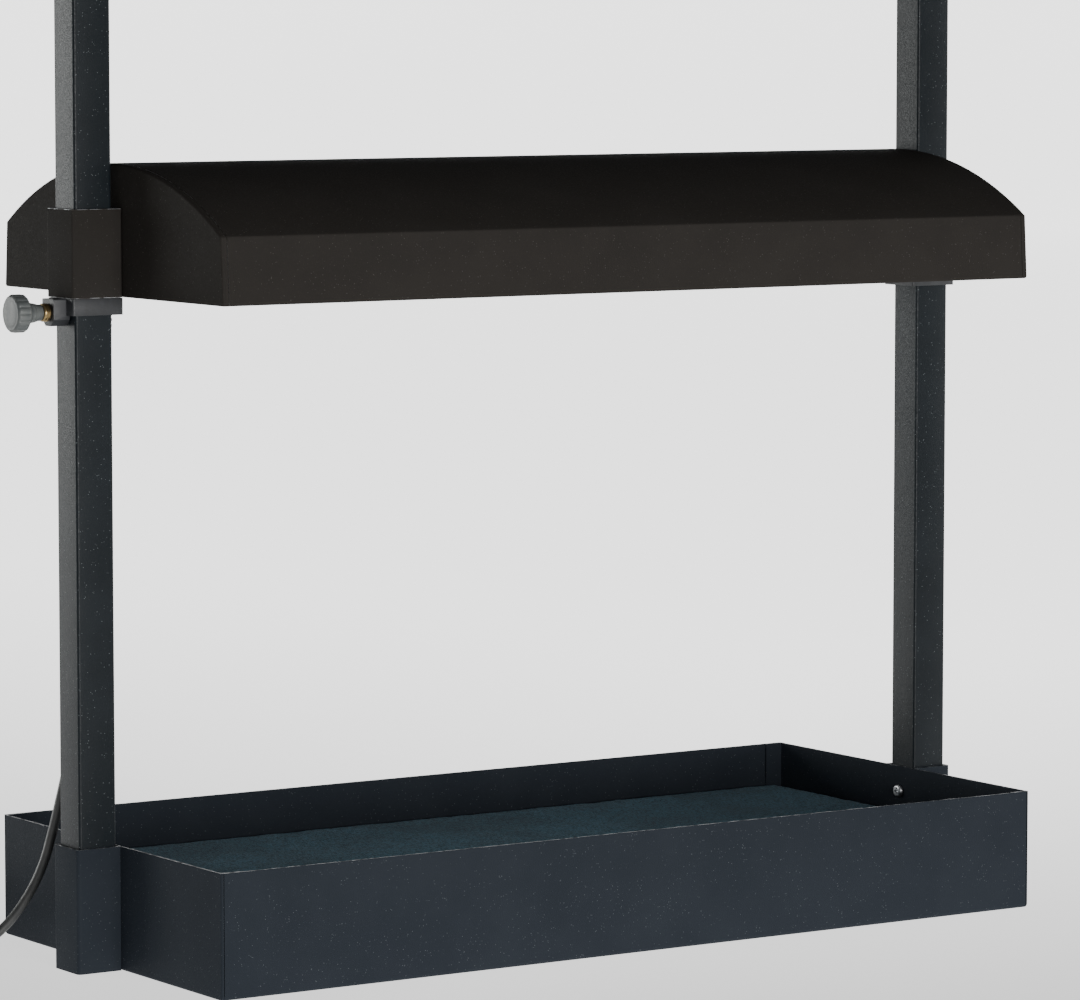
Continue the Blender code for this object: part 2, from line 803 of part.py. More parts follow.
def channel(half, top, bottom, wall):
    """A channel's section in Y and Z, open at the bottom."""
    return [
        (-half, bottom),
        (-half, top),
        (half, top),
        (half, bottom),
        (half - wall, bottom),
        (half - wall, top - wall),
        (-half + wall, top - wall),
        (-half + wall, bottom),
    ]


def make_lamp(looks, hood):
    half = LAMP_WIDTH / 2
    bottom = LAMP_TOP - LAMP_HEIGHT
    left = LAMP_LEFT + LEFT_CAP + GAP
    right = LAMP_RIGHT - RIGHT_CAP - GAP
    section = channel(half, LAMP_TOP, bottom, LAMP_WALL)
    extruded("lamp_housing", [section], "X", left, right, looks["aluminium"], hood)

    inside = half - LAMP_WALL - GAP
    board_top = bottom + 8 * MM
    board_sheet = 1.6 * MM
    board_low = board_top - board_sheet
    board = box(
        "led_board",
        (left + 2 * MM, -inside, board_low),
        (right - 2 * MM, inside, board_top),
        looks["board"],
        hood,
    )
    led_depth = 0.9 * MM
    pitch = (right - left - 20 * MM) / LED_COUNT
    led_mesh = bpy.data.meshes.new("leds")
    bm = bmesh.new()
    for i in range(LED_COUNT):
        x = left + 10 * MM + pitch * (i + 0.5)
        centre = (x, 0, board_low - led_depth / 2 + 0.2 * MM)
        size = (LED_SIZE, LED_SIZE, led_depth + 0.4 * MM, 1.0)
        bmesh.ops.create_cube(bm, size=1.0, matrix=Matrix.Translation(centre) @ Matrix.Diagonal(size))
    bm.to_mesh(led_mesh)
    bm.free()
    boolean(board, place("leds", led_mesh, None, hood), "UNION")

    driver_low = board_top + 1.5 * MM
    driver_top = LAMP_TOP - LAMP_WALL - 1 * MM
    driver_left = left + 12 * MM
    driver_half = 13 * MM
    driver = box(
        "led_driver",
        (driver_left, -driver_half, driver_low),
        (driver_left + 100 * MM, driver_half, driver_top),
        looks["board"],
        hood,
    )
    bevel(driver, 1 * MM, 1)
    make_lens(looks, hood, left, right, bottom)
    make_end_caps(looks, hood, bottom)
    for label, x in RIB_X.items():
        make_lamp_clip(looks, hood, label, x, bottom)


def make_lens(looks, hood, left, right, bottom):
    """A shallow arched cover that closes the housing's mouth, with two lips up inside it."""
    wall = 1.3 * MM
    half = LAMP_WIDTH / 2
    sag = 5 * MM
    lip_half = half - LAMP_WALL - GAP
    lip_top = bottom + 3.6 * MM
    low = bottom - GAP
    steps = 10

    def arch(width, drop, base):
        return [(-width * cos(pi * i / steps), base - drop * sin(pi * i / steps)) for i in range(steps + 1)]

    outer = arch(half, sag, low)
    inner = arch(lip_half - wall, sag - wall, low)
    section = [
        (-lip_half, low),
        *outer,
        (lip_half, low),
        (lip_half, lip_top),
        (lip_half - wall, lip_top),
        *inner[::-1],
        (-lip_half + wall, lip_top),
        (-lip_half, lip_top),
    ]
    smooth(extruded("lamp_lens", [section], "X", left, right, looks["lens"], hood), 0.6)


def make_end_caps(looks, hood, bottom):
    """Plastic ends of the lamp. The left one is long, because it holds the switch and the terminals."""
    half = LAMP_WIDTH / 2
    low = bottom - 5.3 * MM
    spans = {"left": (LAMP_LEFT, LAMP_LEFT + LEFT_CAP), "right": (LAMP_RIGHT - RIGHT_CAP, LAMP_RIGHT)}
    for label, (start, end) in spans.items():
        cap = box(f"lamp_cap_{label}", (start, -half, low), (end, half, LAMP_TOP), looks["plastic"], hood)
        bevel(cap, 2 * MM, 2)
    cap = bpy.data.objects["lamp_cap_left"]
    cut_box(
        cap,
        "switch_room",
        (SWITCH_X - SWITCH_ROOM[0], -SWITCH_ROOM[1], low - 5 * MM),
        (SWITCH_X + SWITCH_ROOM[0], SWITCH_ROOM[1], low + SWITCH_DEPTH),
    )
    lead_hole = (LAMP_LEFT, 0, LAMP_TOP - LEAD_DROP)
    cut_round(cap, "lead_hole", lead_hole, CORD_RADIUS + GAP, 12 * MM, "X", 16)
    make_switch(looks, hood, low)


def make_switch(looks, hood, low):
    """A rocker in a bezel whose skirt goes up into the end cap. It rests pressed down on its +X side."""
    room_x, room_y = SWITCH_ROOM
    rim = 1.4 * MM
    mouth = flat(rectangle(room_x - rim, room_y - rim, 0))
    frame = flat(rectangle(room_x + rim, room_y + rim, 0, 1 * MM))
    under = low - GAP
    bezel = extruded(
        "switch_bezel", [frame, mouth], "Z", under - rim, under, looks["plastic"], hood
    )
    bezel.location.x = SWITCH_X
    sides = flat(rectangle(room_x - GAP, room_y - GAP, 0))
    skirt_top = low + SWITCH_DEPTH - 2 * MM
    skirt = extruded("bezel_skirt", [sides, mouth], "Z", under - rim + GAP, skirt_top, None, hood)
    skirt.location.x = SWITCH_X
    boolean(bezel, skirt, "UNION")

    pivot = frame_empty("switch_axis", (SWITCH_X, 0, low + 2 * MM), hood)
    half_x = room_x - rim - 0.8 * MM
    half_y = room_y - rim - GAP
    rise = 3.4 * MM
    back = 2.5 * MM
    taper = 0.6 * MM
    outline = [
        (-half_x, -rise - ROCKER_TILT * half_x),
        (0, -rise),
        (half_x, -rise - ROCKER_TILT * half_x),
        (half_x - taper, back),
        (-half_x + taper, back),
    ]
    extruded("switch_rocker", [outline], "Y", -half_y, half_y, looks["rubber"], pivot)
    pivot.rotation_euler.y = ROCKER_TILT


def make_lamp_clip(looks, hood, label, x, bottom):
    """A spring clip, screwed up through the reflector to a rib. Its legs grip the lamp's housing."""
    sheet = 1 * MM
    half = LAMP_WIDTH / 2 + GAP
    top = REFLECTOR_TOP - REFLECTOR_SHEET - GAP
    foot = bottom + 7 * MM
    section = channel(half + sheet, top, foot, sheet)
    width = 16 * MM
    clip = extruded(
        f"lamp_clip_{label}", [section], "X", x - width / 2, x + width / 2, looks["zinc"], hood
    )
    cut_round(clip, f"clip_hole_{label}", (x, 0, top), CLIP_HOLE, 6 * MM, "Z")
    head = 1.8 * MM
    head_radius = 3.8 * MM
    shank = CLIP_HOLE - GAP
    point = 0.4 * MM
    head_top = top - sheet - GAP
    length = HOOD_FLANGE + HOOD_RISE - HOOD_SHEET - 2 * GAP - head_top
    profile = (
        (0, length),
        (shank - point, length),
        (shank, length - 2 * point),
        (shank, 0),
        (head_radius, 0),
        (head_radius, -head),
        (0, -head),
    )
    turned(f"clip_screw_{label}", profile, 12, looks["zinc"], hood, (x, 0, head_top))


def make_gland_and_lead(looks, hood):
    """The strain relief in the hood's end, and the lead that runs from it to the lamp's end cap."""
    lip_low = HOOD_SHEET + GAP
    lip_top = lip_low + HOOD_SHEET
    flange = 6.6 * MM
    flange_low = -1 * MM
    top = 7 * MM
    bore = CORD_RADIUS - 0.6 * MM
    profile = (
        (bore + 1.2 * MM, top),
        (flange, lip_top + GAP + 1.5 * MM),
        (flange, lip_top + GAP),
        (GLAND_GROOVE, lip_top + GAP),
        (GLAND_GROOVE, lip_low - GAP),
        (flange, lip_low - GAP),
        (flange, flange_low),
        (GLAND_GROOVE, flange_low),
        (CORD_RADIUS + 0.9 * MM, -GLAND_TAIL),
        (bore, -GLAND_TAIL),
        (bore, top),
    )
    turned("cord_gland", profile, 20, looks["rubber"], hood, (GLAND_X, GLAND_Y, 0), closed=True)
    cap_height = LAMP_TOP - LEAD_DROP
    stops = [
        Vector((GLAND_X, GLAND_Y, top + GAP)),
        Vector((GLAND_X, GLAND_Y - 1 * MM, 24 * MM)),
        Vector((GLAND_X + 1 * MM, GLAND_Y - 9 * MM, 41 * MM)),
        Vector((GLAND_X + 9 * MM, GLAND_Y - 22 * MM, 54 * MM)),
        Vector((GLAND_X + 20 * MM, 1 * MM, cap_height)),
        Vector((LAMP_LEFT + 4 * MM, 0, cap_height)),
    ]
    tube("lamp_lead", smooth_route(stops, 6 * MM), CORD_RADIUS, looks["cord"], hood)


def coil_tangent(turn_radius, degrees, half_width):
    """Where a turn touches, which way it runs there, and how far on it is clear of the coil's outer side.

    The cord is wound clockwise, seen from above. half_width is that of what leaves or meets the turn.
    """
    angle = radians(degrees)
    touch = Vector((*COIL_CENTRE, 0)) + turn_radius * Vector((cos(angle), sin(angle), 0))
    heading = Vector((sin(angle), -cos(angle), 0))
    clear = sqrt((COIL_OUTER + GAP) ** 2 - (turn_radius - half_width) ** 2)
    return touch, heading, clear


def make_cord(looks, base):
    """The mains cord: down beside the post, out over the tray's end, and on to a coil and a plug."""
    lie = CORD_RADIUS + 0.2 * MM
    start = HOOD_BOTTOM - GLAND_TAIL - GAP
    stops = [
        (GLAND_X, GLAND_Y, start),
        (GLAND_X, GLAND_Y, start - 30 * MM),
        (-292 * MM, 31 * MM, 320 * MM),
        (-295 * MM, 33 * MM, 240 * MM),
        (-301 * MM, 39 * MM, 170 * MM),
        (-308 * MM, 47 * MM, 120 * MM),
        (-311.5 * MM, 55 * MM, 89 * MM),
        (-313 * MM, 59.5 * MM, 75 * MM),
        (-315.5 * MM, 63.5 * MM, 60 * MM),
        (-320 * MM, 68 * MM, 45 * MM),
        (-327 * MM, 72 * MM, 31 * MM),
        (-336 * MM, 77 * MM, 18 * MM),
        (-347 * MM, 82 * MM, 8 * MM),
        (-358 * MM, 88.5 * MM, 4 * MM),
        (-368 * MM, 97 * MM, lie),
    ]
    touch, heading, clear = coil_tangent(COIL_OUTER - CORD_RADIUS, COIL_ENTRY, CORD_RADIUS)
    end = touch - clear * heading + Vector((0, 0, lie))
    route = smooth_route([*[Vector(stop) for stop in stops], end], 13 * MM)
    tube("power_cord", route, CORD_RADIUS, looks["cord"], base)
    low = GAP
    ring = (
        (COIL_INNER + 2 * MM, low + COIL_HEIGHT),
        (COIL_OUTER - 2 * MM, low + COIL_HEIGHT),
        (COIL_OUTER, low + COIL_HEIGHT - 2 * MM),
        (COIL_OUTER, low + 2 * MM),
        (COIL_OUTER - 2 * MM, low),
        (COIL_INNER + 2 * MM, low),
        (COIL_INNER, low + 2 * MM),
        (COIL_INNER, low + COIL_HEIGHT - 2 * MM),
    )
    turned("cord_coil", ring, 40, looks["cord"], base, (*COIL_CENTRE, 0), closed=True)
    make_plug(looks, base)


def make_plug(looks, base):
    """A moulded three-pin plug that lies flat, in line with the turn of the coil that it comes from."""
    height = 20 * MM
    turn_radius = COIL_OUTER - CORD_RADIUS - COIL_PITCH
    touch, heading, clear = coil_tangent(turn_radius, COIL_EXIT, PLUG_BACK)
    seat = touch + clear * heading + Vector((0, 0, height / 2 + GAP))
    plug = frame_empty("plug_frame", seat, base)
    plug.rotation_euler.z = radians(COIL_EXIT - 180)
    stations = (
        (0, PLUG_BACK, PLUG_BACK),
        (16 * MM, 4.6 * MM, 4.6 * MM),
        (19 * MM, 10 * MM, 8.4 * MM),
        (24 * MM, 12.5 * MM, height / 2),
        (42 * MM, 12.5 * MM, height / 2),
        (44 * MM, 11.5 * MM, height / 2 - 1 * MM),
    )
    rings = []
    for y, half_x, half_z in stations:
        corner = min(half_x, half_z) * 0.6
        rings.append([(px, y, pz) for px, pz, _ in rectangle(half_x, half_z, 0, corner)])
    face = stations[-1][0]
    body = smooth(lofted("plug_body", rings, looks["rubber"], plug), 0.5)

    pin_root = 8 * MM
    spacing = 6.35 * MM
    half_thick = 0.75 * MM
    half_wide = 3.2 * MM
    blade_z = 2 * MM
    for label, offset in (("live", -spacing), ("neutral", spacing)):
        low = (offset - half_thick, face - pin_root, blade_z - half_wide)
        high = (offset + half_thick, face + 17 * MM, blade_z + half_wide)
        box(f"plug_pin_{label}", low, high, looks["brass"], plug)
        low = [value - GAP for value in low]
        high = (high[0] + GAP, face + 1 * MM, high[2] + GAP)
        cut_box(body, f"{label}_slot", low, high)
    radius = 2.4 * MM
    earth_z = -4.6 * MM
    length = pin_root + 20 * MM
    profile = (
        (0, length),
        (radius - 1 * MM, length),
        (radius, length - 2 * MM),
        (radius, 0),
        (0, 0),
    )
    root = (0, face - pin_root, earth_z)
    turned("plug_pin_earth", profile, 16, looks["brass"], plug, root, along((0, 1, 0)))
    cut_round(body, "earth_hole", (0, face, earth_z), radius + GAP, 2 * (pin_root + GAP), "Y", 16)


def main():
    for obj in list(bpy.data.objects):
        bpy.data.objects.remove(obj)
    new_collection(PARTS)
    new_collection(CUTTERS)
    looks = make_looks()
    base = frame_empty("base_frame", (0, 0, 0))
    hood = frame_empty("hood_slide_axis", (0, 0, HOOD_BOTTOM))
    make_tray(looks, base)
    make_watering_set(looks, base)
    make_hood_shell(looks, hood)
    for side, label in ((-1, "left"), (1, "right")):
        make_socket(looks, base, side, label)
        make_post(looks, base, side, label)
        make_sleeve(looks, hood, side, label)
    make_bush(looks, hood, -1, "clamp_bush", clamped=True)
    make_bush(looks, hood, 1, "guide_bush", clamped=False)
    make_clamp(looks, hood)
    make_reflector(looks, hood)
    make_lamp(looks, hood)
    make_gland_and_lead(looks, hood)
    make_cord(looks, base)


main()
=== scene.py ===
"""The led grow light's looks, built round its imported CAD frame.

Metres, in the CAD's frame: +Z up, X along the tray, -Y the front. Every piece is built in place,
so an object's own coordinates are the frame's coordinates.
"""

from math import asin, atan2, cos, hypot, pi, radians, sin, sqrt, tan

import bmesh
import bpy
from mathutils import Matrix, Vector, noise


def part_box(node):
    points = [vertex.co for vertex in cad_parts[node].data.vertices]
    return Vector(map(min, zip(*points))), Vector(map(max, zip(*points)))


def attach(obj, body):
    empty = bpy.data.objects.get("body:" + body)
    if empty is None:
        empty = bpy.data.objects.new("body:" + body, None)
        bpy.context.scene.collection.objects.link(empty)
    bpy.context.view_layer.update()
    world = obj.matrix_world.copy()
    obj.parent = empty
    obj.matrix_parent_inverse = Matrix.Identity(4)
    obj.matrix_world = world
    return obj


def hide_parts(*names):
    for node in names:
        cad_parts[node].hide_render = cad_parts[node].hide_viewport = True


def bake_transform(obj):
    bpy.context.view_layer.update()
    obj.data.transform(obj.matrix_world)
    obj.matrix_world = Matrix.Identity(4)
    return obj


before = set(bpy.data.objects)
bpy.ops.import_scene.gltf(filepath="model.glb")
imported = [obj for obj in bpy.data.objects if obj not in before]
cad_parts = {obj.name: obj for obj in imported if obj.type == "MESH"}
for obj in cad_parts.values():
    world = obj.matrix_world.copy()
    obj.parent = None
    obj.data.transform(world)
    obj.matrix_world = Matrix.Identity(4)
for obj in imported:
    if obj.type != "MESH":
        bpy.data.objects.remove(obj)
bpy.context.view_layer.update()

MM = 0.001
GAP = 0.3 * MM
SIDES = ((-1, "left"), (1, "right"))
FACING = 0.9  # how far a face's normal reaches along an axis that the face looks along


def span(node, axis):
    low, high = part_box(node)
    return low[axis], high[axis]


# The tray and its posts
TRAY_END = span("tray_end_right", 0)[1]
TRAY_HALF = span("tray_end_right", 1)[1]
TRAY_TOP = span("tray_end_right", 2)[1]
TRAY_SHEET = 1.2 * MM
TRAY_BEND = 2.5 * MM
PAN_END = span("tray_pan", 0)[1]
SOCKET_WALL = 1.5 * MM
POST_HALF = span("post_right", 1)[1]
POST_X = sum(span("post_right", 0)) / 2
POST_LOW, POST_TOP = span("post_right", 2)
POST_WALL = 1.5 * MM
POST_BEND = 1.6 * MM
SCREW_HEIGHTS = {"lower": 24 * MM, "upper": 60 * MM}
WICK_INSET = 14 * MM

# The hood, whose heights are measured from its lower edge
HOOD = span("hood_shell", 2)[0]
HOOD_END = span("hood_end_right", 0)[1]
HOOD_HALF = 136 * MM
HOOD_FLANGE = 41 * MM
HOOD_RISE = 40 * MM
HOOD_LEAN = 2.5 * MM
HOOD_SHEET = 0.8 * MM
HOOD_LIP = 12 * MM
HOOD_TAB = 22 * MM
SHELL_END = span("hood_shell", 0)[1]
SLEEVE_WALL = 1.5 * MM
RIB_X = {label: sum(span(f"hood_rib_{label}", 0)) / 2 for _, label in SIDES}
CLAMP_Z = sum(span("clamp_knob", 2)) / 2
POST_FACE = POST_X + POST_HALF

# The lamp
LAMP_HALF = span("lamp_housing", 1)[1]
LAMP_LEFT, LAMP_RIGHT = span("lamp_housing", 0)
LAMP_LOW, LAMP_TOP = span("lamp_housing", 2)
LAMP_WALL = 1.6 * MM
CLIP_HOLE = 2.3 * MM

# The mains cord
CORD_RADIUS = 3 * MM
COIL_CENTRE = Vector((-359 * MM, 156 * MM, 0))
COIL_OUTER = 47.1 * MM
COIL_PITCH = 6.15 * MM
COIL_ENTRY = 220
COIL_EXIT = 130
PLUG_BACK = 4.2 * MM
GLAND = Vector((-288.5 * MM, 30 * MM, HOOD))
GLAND_TAIL = 26 * MM


# Materials: each look's short name, and the look itself, which make_looks fills in
LOOKS = {}


class Look:
    """A procedural material. Its patterns are laid out in the frame's coordinates, in metres."""

    def __init__(self, name, roughness=0.5, metallic=0.0, **values):
        self.material = bpy.data.materials.new(name)
        self.material.use_nodes = True
        self.tree = self.material.node_tree
        self.shader = self.tree.nodes["Principled BSDF"]
        self.shader.inputs["Roughness"].default_value = roughness
        self.shader.inputs["Metallic"].default_value = metallic
        for socket, value in values.items():
            self.shader.inputs[socket.replace("_", " ")].default_value = value
        self.place = self.tree.nodes.new("ShaderNodeTexCoord").outputs["Object"]

    def put(self, source, socket):
        if hasattr(source, "is_output"):
            self.tree.links.new(source, socket)
        elif isinstance(source, (tuple, list)) and socket.type == "RGBA":
            socket.default_value = (*source, 1)
        else:
            socket.default_value = source

    def node(self, kind, sources, **settings):
        """A new node with its settings made, and its inputs, by name or number, fed by sources."""
        node = self.tree.nodes.new("ShaderNode" + kind)
        for name, value in settings.items():
            setattr(node, name, value)
        for socket, source in sources.items():
            self.put(source, node.inputs[socket])
        return node.outputs

    def stretched(self, x, y, z):
        return self.node("Mapping", {"Vector": self.place, "Scale": (x, y, z)})[0]

    def noise(self, size, detail=2.0, place=None, roughness=0.55):
        """Soft noise from 0 to 1, whose features are about size across."""
        sources = {"Vector": place or self.place, "Scale": 1 / size, "Detail": detail}
        return self.node("TexNoise", {**sources, "Roughness": roughness})[0]

    def grains(self, size, output="Distance"):
        """Cells about size across: the distance to each one's middle, or its own random colour."""
        return self.node("TexVoronoi", {"Vector": self.place, "Scale": 1 / size})[output]

    def between(self, value, low, high, start=0.0, end=1.0):
        """value from low to high turned into start to end, and held there outside."""
        sources = dict(enumerate((value, low, high, start, end)))
        return self.node("MapRange", sources, interpolation_type="SMOOTHSTEP")[0]

    def math(self, operation, a, b):
        return self.node("Math", {0: a, 1: b}, operation=operation)[0]

    def mix(self, share, a, b):
        return self.node("Mix", {"Factor": share, 6: a, 7: b}, data_type="RGBA")[2]

    def depth(self, direction):
        """How far a point lies along a fixed direction of the frame."""
        return self.node("VectorMath", {0: self.place, 1: direction}, operation="DOT_PRODUCT")["Value"]

    def feed(self, socket, source):
        self.put(source, self.shader.inputs[socket])

    def colour(self, source):
        self.feed("Base Color", source)

    def roughness(self, pattern, smooth, rough):
        """Roughness that follows a noise pattern from smooth to rough."""
        self.feed("Roughness", self.between(pattern, 0.3, 0.7, smooth, rough))

    def bump(self, source, depth, strength=1.0):
        bumped = self.node("Bump", {"Height": source, "Distance": depth, "Strength": strength})[0]
        self.feed("Normal", bumped)


def powder_coat(name, dark, light, fleck, gloss, shine):
    """Black textured powder coat: a fine orange peel, soft mottling, and tiny pale flecks."""
    look = Look(name, Specular_IOR_Level=shine)
    mottled = look.mix(look.between(look.noise(45 * MM, 5), 0.3, 0.75), dark, light)
    spots = look.between(look.grains(1.7 * MM), 0.06, 0.2, 1.0, 0.0)
    chosen = look.between(look.noise(3 * MM, 1), 0.5, 0.6)
    look.colour(look.mix(look.math("MULTIPLY", spots, chosen), mottled, fleck))
    grain = look.noise(0.9 * MM, 3)
    look.roughness(grain, gloss - 0.08, gloss + 0.1)
    look.bump(grain, 0.22 * MM, 0.55)
    return look.material


def raw_edge(name, paint):
    """A cut edge of painted sheet: bare steel that shows through in broken, uneven stretches."""
    look = Look(name, metallic=0.3)
    bare = look.between(look.noise(7 * MM, 5), 0.40, 0.56)
    steel = look.mix(look.noise(1.2 * MM), (0.33, 0.34, 0.36), (0.62, 0.63, 0.64))
    look.colour(look.mix(bare, paint, steel))
    look.feed("Metallic", look.between(bare, 0.0, 1.0, 0.0, 0.7))
    look.feed("Roughness", look.between(bare, 0.0, 1.0, 0.5, 0.38))
    look.bump(look.noise(0.7 * MM, 3), 0.1 * MM, 0.6)
    return look.material


def moulded(name, dark, light, gloss=0.5):
    """Moulded plastic with a fine eroded texture and faint flow marks."""
    look = Look(name, Specular_IOR_Level=0.5)
    flow = look.noise(9 * MM, 3, look.stretched(1, 1.8, 0.6))
    look.colour(look.mix(look.between(flow, 0.35, 0.68), dark, light))
    grain = look.noise(0.55 * MM, 2)
    look.roughness(grain, gloss - 0.06, gloss + 0.1)
    look.bump(grain, 0.08 * MM, 0.5)
    return look.material


def plated(name, dark, light, gloss, spangle=3 * MM):
    """Plated or bare metal with a faint crystal pattern and handling marks."""
    look = Look(name, metallic=1.0)
    cells = look.grains(spangle, output="Color")
    tone = look.math("MULTIPLY", look.noise(1.4 * MM, 3), 0.8)
    look.colour(look.mix(look.math("ADD", tone, look.between(cells, 0.2, 0.9, -0.12, 0.2)), dark, light))
    look.roughness(look.noise(4 * MM, 4), gloss - 0.07, gloss + 0.1)
    look.bump(look.noise(0.6 * MM, 2), 0.05 * MM, 0.4)
    return look.material


def brushed(name, dark, light, gloss):
    """Drawn aluminium: fine lines that run along X."""
    look = Look(name, metallic=1.0, Anisotropic=0.5)
    lines = look.noise(1 * MM, 3, look.stretched(0.02, 1, 1))
    look.colour(look.mix(look.between(lines, 0.3, 0.7), dark, light))
    look.roughness(lines, gloss - 0.06, gloss + 0.08)
    look.bump(lines, 0.05 * MM, 0.4)
    return look.material


def enamel(name, white, shade, gloss):
    look = Look(name, Coat_Weight=0.15)
    look.colour(look.mix(look.between(look.noise(30 * MM, 4), 0.35, 0.7), white, shade))
    peel = look.noise(2.2 * MM, 2)
    look.roughness(peel, gloss - 0.05, gloss + 0.08)
    look.bump(peel, 0.06 * MM, 0.4)
    return look.material


def frosted(name):
    """Milky plastic with fine flutes along X that spread the light."""
    look = Look(name, roughness=0.35, Transmission_Weight=0.25, IOR=1.49)
    flutes = look.noise(1.2 * MM, 1, look.stretched(0.01, 1, 1))
    look.colour(look.mix(look.between(flutes, 0.35, 0.65), (0.80, 0.81, 0.79), (0.90, 0.90, 0.88)))
    look.bump(flutes, 0.2 * MM, 0.6)
    return look.material


def felt(name):
    """Blue-grey fibre felt: tangled fibres in a few tones, with a nap."""
    look = Look(name, roughness=0.95, Specular_IOR_Level=0.1, Sheen_Weight=0.1, Sheen_Roughness=0.5)
    fibres = look.noise(1.1 * MM, 5, look.stretched(1, 0.45, 1), 0.75)
    tufts = look.noise(5 * MM, 4)
    teal = look.mix(look.between(fibres, 0.38, 0.62), (0.01, 0.042, 0.062), (0.06, 0.17, 0.235))
    damp = look.between(look.noise(60 * MM, 3), 0.35, 0.7, 0.0, 0.4)
    look.colour(look.mix(damp, teal, (0.02, 0.04, 0.055)))
    look.bump(look.math("ADD", fibres, look.math("MULTIPLY", tufts, 0.6)), 0.7 * MM, 0.9)
    return look.material


def board_finish(name):
    """White solder mask with copper tracks that show through as faint relief."""
    look = Look(name, roughness=0.42)
    tracks = look.between(look.noise(4 * MM, 0, look.stretched(0.12, 1, 1)), 0.48, 0.52)
    look.colour(look.mix(tracks, (0.80, 0.83, 0.80), (0.71, 0.76, 0.72)))
    look.bump(tracks, 0.05 * MM, 0.5)
    return look.material


def floor_finish(name):
    """Matt white with a painted glow: its own emission, brightest behind the object and to its right,
    stands in for studio light.
    """
    look = Look(name, roughness=0.8, Specular_IOR_Level=0.1)
    patches = look.between(look.noise(0.5, 4), 0.3, 0.7)
    look.colour(look.mix(patches, (0.42, 0.42, 0.415), (0.45, 0.45, 0.445)))
    rightward = look.depth((0.98, 0.17, 0))
    backward = look.depth((0.17, 0.98, 0))
    # Painted light: emission that rises towards the back and the right, in place of lamp light on the
    # floor
    painted_glow = look.between(look.math("MINIMUM", rightward, backward), -1.5, 1.3, 0.4, 2.3)
    look.feed("Emission Color", (1.0, 1.0, 1.0))
    look.feed("Emission Strength", painted_glow)
    return look.material


def make_looks():
    tray_dark = (0.018, 0.0222, 0.0285)
    tray_light = (0.021, 0.0255, 0.032)
    hood_dark = (0.0235, 0.0215, 0.0195)
    hood_light = (0.0265, 0.0242, 0.022)
    post_dark = (0.0055, 0.0085, 0.011)
    post_light = (0.009, 0.0125, 0.0155)
    return {
        "tray": powder_coat("tray_coat", tray_dark, tray_light, (0.1, 0.11, 0.12), 0.5, 0.03),
        "tray_edge": raw_edge("tray_raw_edge", tray_dark),
        "hood": powder_coat("hood_coat", hood_dark, hood_light, (0.08, 0.075, 0.07), 0.58, 0.02),
        "hood_edge": raw_edge("hood_raw_edge", (0.03, 0.024, 0.02)),
        "post": powder_coat("post_coat", post_dark, post_light, (0.16, 0.18, 0.19), 0.4, 0.17),
        "plastic": moulded("plastic_black", (0.013, 0.0145, 0.0165), (0.021, 0.023, 0.026)),
        "knob": moulded("plastic_knob", (0.075, 0.083, 0.083), (0.105, 0.113, 0.11), 0.46),
        "zinc": plated("zinc_plate", (0.36, 0.37, 0.39), (0.66, 0.67, 0.68), 0.36),
        "brass": plated("brass_turned", (0.2, 0.14, 0.065), (0.5, 0.37, 0.18), 0.34),
        "aluminium": brushed("aluminium_drawn", (0.5, 0.51, 0.53), (0.74, 0.75, 0.77), 0.34),
        "reflector": enamel("white_enamel", (0.86, 0.86, 0.85), (0.82, 0.82, 0.80), 0.3),
        "board": board_finish("solder_mask"),
        "phosphor": enamel("led_phosphor", (0.82, 0.66, 0.16), (0.74, 0.56, 0.12), 0.3),
        "lens": frosted("frosted_cover"),
        "rubber": moulded("rubber_black", (0.012, 0.012, 0.0125), (0.022, 0.022, 0.023), 0.62),
        "felt": felt("felt_blue_grey"),
        "cord": moulded("cord_vinyl", (0.022, 0.0235, 0.0235), (0.034, 0.035, 0.034), 0.42),
        "floor": floor_finish("floor_paint"),
    }


# Shapes


def made(name, build):
    """An object whose mesh build(bm) fills, with its faces pointing out."""
    bm = bmesh.new()
    build(bm)
    bmesh.ops.recalc_face_normals(bm, faces=bm.faces)
    mesh = bpy.data.meshes.new(name)
    bm.to_mesh(mesh)
    bm.free()
    obj = bpy.data.objects.new(name, mesh)
    bpy.context.scene.collection.objects.link(obj)
    return obj


def loop_walls(bm, first, second):
    count = len(first)
    return [
        bm.faces.new((first[i], first[(i + 1) % count], second[(i + 1) % count], second[i]))
        for i in range(count)
    ]


def along_axis(axis, a, b, c):
    """A point from two coordinates of a section and the distance along axis X, Y or Z."""
    return {"X": (c, a, b), "Y": (a, c, b), "Z": (a, b, c)}[axis]


def extruded(name, outlines, axis, start, end):
    """Closed flat outlines, the inner ones being holes, extruded along an axis."""

    def build(bm):
        rims = ([], [])
        for outline in outlines:
            loops = []
            for rim, level in zip(rims, (start, end)):
                loop = [bm.verts.new(along_axis(axis, a, b, level)) for a, b in outline]
                loops.append(loop)
                rim.extend(bm.edges.new((loop[i - 1], loop[i])) for i in range(len(loop)))
            loop_walls(bm, *loops)
        for rim in rims:
            bmesh.ops.triangle_fill(bm, edges=rim, use_beauty=True, use_dissolve=False)

    return made(name, build)


def lofted(name, rings, closed=False):
    """A solid through rings of equally many points: capped at both ends, or joined end to end."""

    def build(bm):
        loops = [[bm.verts.new(point) for point in ring] for ring in rings]
        for first, second in zip(loops, loops[1:]):
            loop_walls(bm, first, second)
        if closed:
            loop_walls(bm, loops[-1], loops[0])
        else:
            bm.faces.new(loops[0])
            bm.faces.new(loops[-1])

    return made(name, build)


def millimetres(pairs):
    """Pairs of lengths in millimetres, as metres."""
    return [(a * MM, b * MM) for a, b in pairs]


def circle(radius, steps):
    return [(radius * cos(2 * pi * i / steps), radius * sin(2 * pi * i / steps)) for i in range(steps)]


